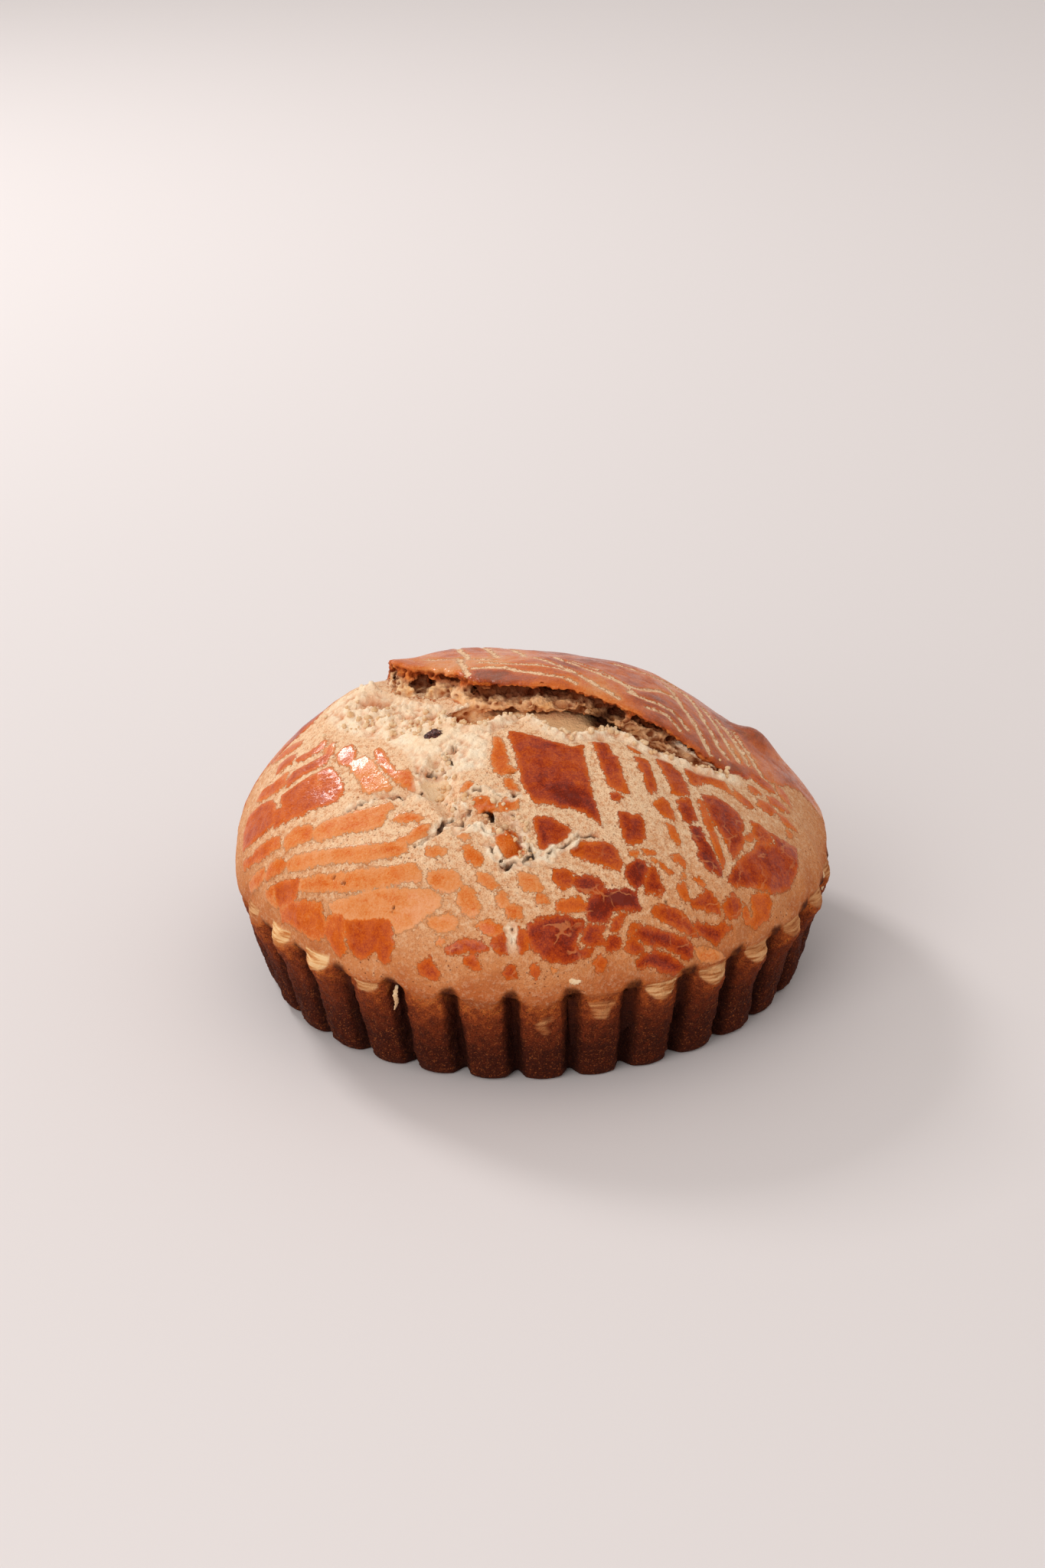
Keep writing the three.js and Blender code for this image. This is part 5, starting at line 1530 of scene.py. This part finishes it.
class CakeSettings(bpy.types.PropertyGroup):
    grid: length_property("Grid", "Spacing of the grid the cake's surface is drawn from", 0.0006)
    coarse_grid: length_property("Coarse grid", "Spacing of that grid in a quick build", 0.0008)
    glaze_raised: length_property("Glaze raised", "How far the glazed patches stand over the scores", 0.0003)
    grain: length_property("Grain", "Height of the sandy grain on the plain crust", 0.0001)
    crumb_depth: length_property("Crumb depth", "Height of the crumbs on the torn faces", 0.001)
    plain_top: colour_property("Plain top", "Plain crust on top of the dome", tint(242, 198, 156))
    plain_tan: colour_property("Plain tan", "Plain crust half way down the dome", tint(206, 130, 78))
    plain_rim: colour_property("Plain rim", "Plain crust at the rim", tint(128, 56, 22))
    glaze_light: colour_property("Glaze light", "Where the egg wash is thinnest", tint(220, 132, 68))
    glaze_brown: colour_property("Glaze brown", "Most of the egg-washed patches", tint(190, 80, 16))
    glaze_dark: colour_property("Glaze dark", "Where the egg wash baked darkest", tint(140, 42, 14))
    crumb_pale: colour_property("Crumb pale", "The palest torn crumb", tint(255, 230, 192))
    crumb_toasted: colour_property("Crumb toasted", "The toasted spots of the crumb", tint(230, 160, 94))
    wall_top: colour_property("Wall top", "The browned wall under the rim", tint(186, 98, 42))
    wall_foot: colour_property("Wall foot", "The browned wall at the foot", tint(66, 24, 12))


class BitSettings(bpy.types.PropertyGroup):
    crumb_count: whole_property("Crumbs", "How many loose crumbs are dropped round the split", 1, 420)
    crumb_seed: whole_property("Seed", "Starts the same scatter of crumbs each time", 0, 12)
    pale: colour_property("Pale", "Palest colour of the crumbs and flakes", (0.84, 0.61, 0.38))
    brown: colour_property("Brown", "Brownest colour of the crumbs and flakes", (0.72, 0.42, 0.2))


class CurrantSettings(bpy.types.PropertyGroup):
    length: length_property("Length", "Length of the currant", 0.0062)
    width: length_property("Width", "Width of the currant", 0.0048)
    height: length_property("Height", "Height of the currant", 0.0044)
    colour: colour_property("Colour", "Colour of the currant's skin", (0.11, 0.024, 0.015))


class StageSettings(bpy.types.PropertyGroup):
    floor_colour: colour_property("Floor colour", "Colour of the pale floor", (0.71, 0.65, 0.635))
    sky: strength_property("Sky", "Strength of the even light from all round", 0.72)
    key: strength_property("Key light", "Power of the window-like light behind and left", 10, "POWER")
    fill: strength_property("Fill light", "Power of the weak light in front", 5, "POWER")


# ---- steps ----
class PASTRY_OT_cake(bpy.types.Operator):
    """Builds the cake: fluted wall, glazed crust, split lid and torn crumb, as one solid mesh"""

    bl_idname = "pastry.cake"
    bl_label = "Build the cake"

    def execute(self, context):
        cake = build_cake(context.scene.pastry_cake)
        cake.data.materials.append(CrustPaint(context.scene.pastry_cake).material)
        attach(cake, "root")
        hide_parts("cake")
        return {"FINISHED"}


class PASTRY_OT_currant(bpy.types.Operator):
    """Builds the wrinkled currant in the pale shoulder"""

    bl_idname = "pastry.currant"
    bl_label = "Build the currant"

    def execute(self, context):
        currant = build_currant(context.scene.pastry_currant)
        currant.data.materials.append(currant_material(context.scene.pastry_currant.colour))
        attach(currant, "root")
        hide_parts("currant")
        return {"FINISHED"}


class PASTRY_OT_bits(bpy.types.Operator):
    """Adds the hanging flakes of crust and the loose crumbs"""

    bl_idname = "pastry.bits"
    bl_label = "Add flakes and crumbs"

    def execute(self, context):
        settings = context.scene.pastry_bits
        for piece in (build_flakes(), build_crumbs(settings)):
            piece.data.materials.append(crumb_material(piece.name, settings.pale, settings.brown))
            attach(piece, "root")
        return {"FINISHED"}


class PASTRY_OT_stage(bpy.types.Operator):
    """Puts up a pale floor, soft studio light and the camera"""

    bl_idname = "pastry.stage"
    bl_label = "Set the stage"

    def execute(self, context):
        scene = context.scene
        settings = scene.pastry_stage
        scene.view_settings.view_transform = "Standard"
        lay_floor(settings.floor_colour)
        light_sky(scene, settings.sky)
        for name, place, size, power in (("key", KEY_AT, KEY_SIZE, settings.key),
                                         ("fill", FILL_AT, FILL_SIZE, settings.fill)):
            add_lamp(scene, name, place, size, power)
        add_camera(scene)
        return {"FINISHED"}


def lay_floor(colour):
    bpy.ops.mesh.primitive_plane_add(size=FLOOR_SIZE)
    floor = bpy.context.object
    floor.name = "stage_floor"
    material = bpy.data.materials.new("stage_floor")
    material.use_nodes = True
    shader = material.node_tree.nodes["Principled BSDF"]
    shader.inputs["Base Color"].default_value = (*colour, 1)
    shader.inputs["Roughness"].default_value = 0.8
    floor.data.materials.append(material)


def light_sky(scene, strength):
    world = bpy.data.worlds.new("studio")
    world.use_nodes = True
    background = world.node_tree.nodes["Background"]
    background.inputs["Color"].default_value = (*SKY_COLOUR, 1)
    background.inputs["Strength"].default_value = strength
    scene.world = world


def add_lamp(scene, name, place, size, power):
    light = bpy.data.lights.new(name, "AREA")
    light.size = size
    light.energy = power
    lamp = bpy.data.objects.new(name, light)
    lamp.location = place
    lamp.rotation_euler = (Vector(LAMPS_AIM) - Vector(place)).to_track_quat("-Z", "Y").to_euler()
    scene.collection.objects.link(lamp)


def add_camera(scene):
    """A camera in front that looks down at the cake and leans a little to one side."""
    right = Vector((1, 0, 0))
    ahead = Vector((0, math.cos(CAMERA_DOWN), -math.sin(CAMERA_DOWN)))
    above = Vector((0, math.sin(CAMERA_DOWN), math.cos(CAMERA_DOWN)))
    rolled_right = right * math.cos(CAMERA_ROLL) + above * math.sin(CAMERA_ROLL)
    rolled_up = -right * math.sin(CAMERA_ROLL) + above * math.cos(CAMERA_ROLL)
    lens = bpy.data.cameras.new("camera")
    lens.lens = CAMERA_LENS
    lens.sensor_width = SENSOR_WIDTH
    camera = bpy.data.objects.new("camera", lens)
    camera.matrix_world = Matrix((rolled_right, rolled_up, -ahead)).transposed().to_4x4()
    camera.location = CAMERA_AT
    scene.collection.objects.link(camera)
    scene.camera = camera


class PASTRY_PT_panel(bpy.types.Panel):
    """Lists the steps that build the pastry, with their sizes and colours"""

    bl_idname = "PASTRY_PT_panel"
    bl_label = "Kouign-amann"
    bl_space_type = "VIEW_3D"
    bl_region_type = "UI"
    bl_category = "Pastry"

    def draw(self, context):
        for key, (group, step) in SECTIONS.items():
            box = self.layout.box()
            settings = getattr(context.scene, key)
            for name in group.__annotations__:
                box.prop(settings, name)
            box.operator(step.bl_idname)


SECTIONS = {
    "pastry_cake": (CakeSettings, PASTRY_OT_cake),
    "pastry_currant": (CurrantSettings, PASTRY_OT_currant),
    "pastry_bits": (BitSettings, PASTRY_OT_bits),
    "pastry_stage": (StageSettings, PASTRY_OT_stage),
}
CLASSES = (CakeSettings, CurrantSettings, BitSettings, StageSettings,
           PASTRY_OT_cake, PASTRY_OT_currant, PASTRY_OT_bits, PASTRY_OT_stage, PASTRY_PT_panel)


def register():
    for cls in CLASSES:
        bpy.utils.register_class(cls)
    for key, (group, _) in SECTIONS.items():
        setattr(bpy.types.Scene, key, PointerProperty(type=group))


def unregister():
    for key in SECTIONS:
        delattr(bpy.types.Scene, key)
    for cls in reversed(CLASSES):
        bpy.utils.unregister_class(cls)


def main():
    register()
    bpy.ops.pastry.cake()
    bpy.ops.pastry.currant()
    bpy.ops.pastry.bits()
    bpy.ops.pastry.stage()


if __name__ == "__main__":
    main()
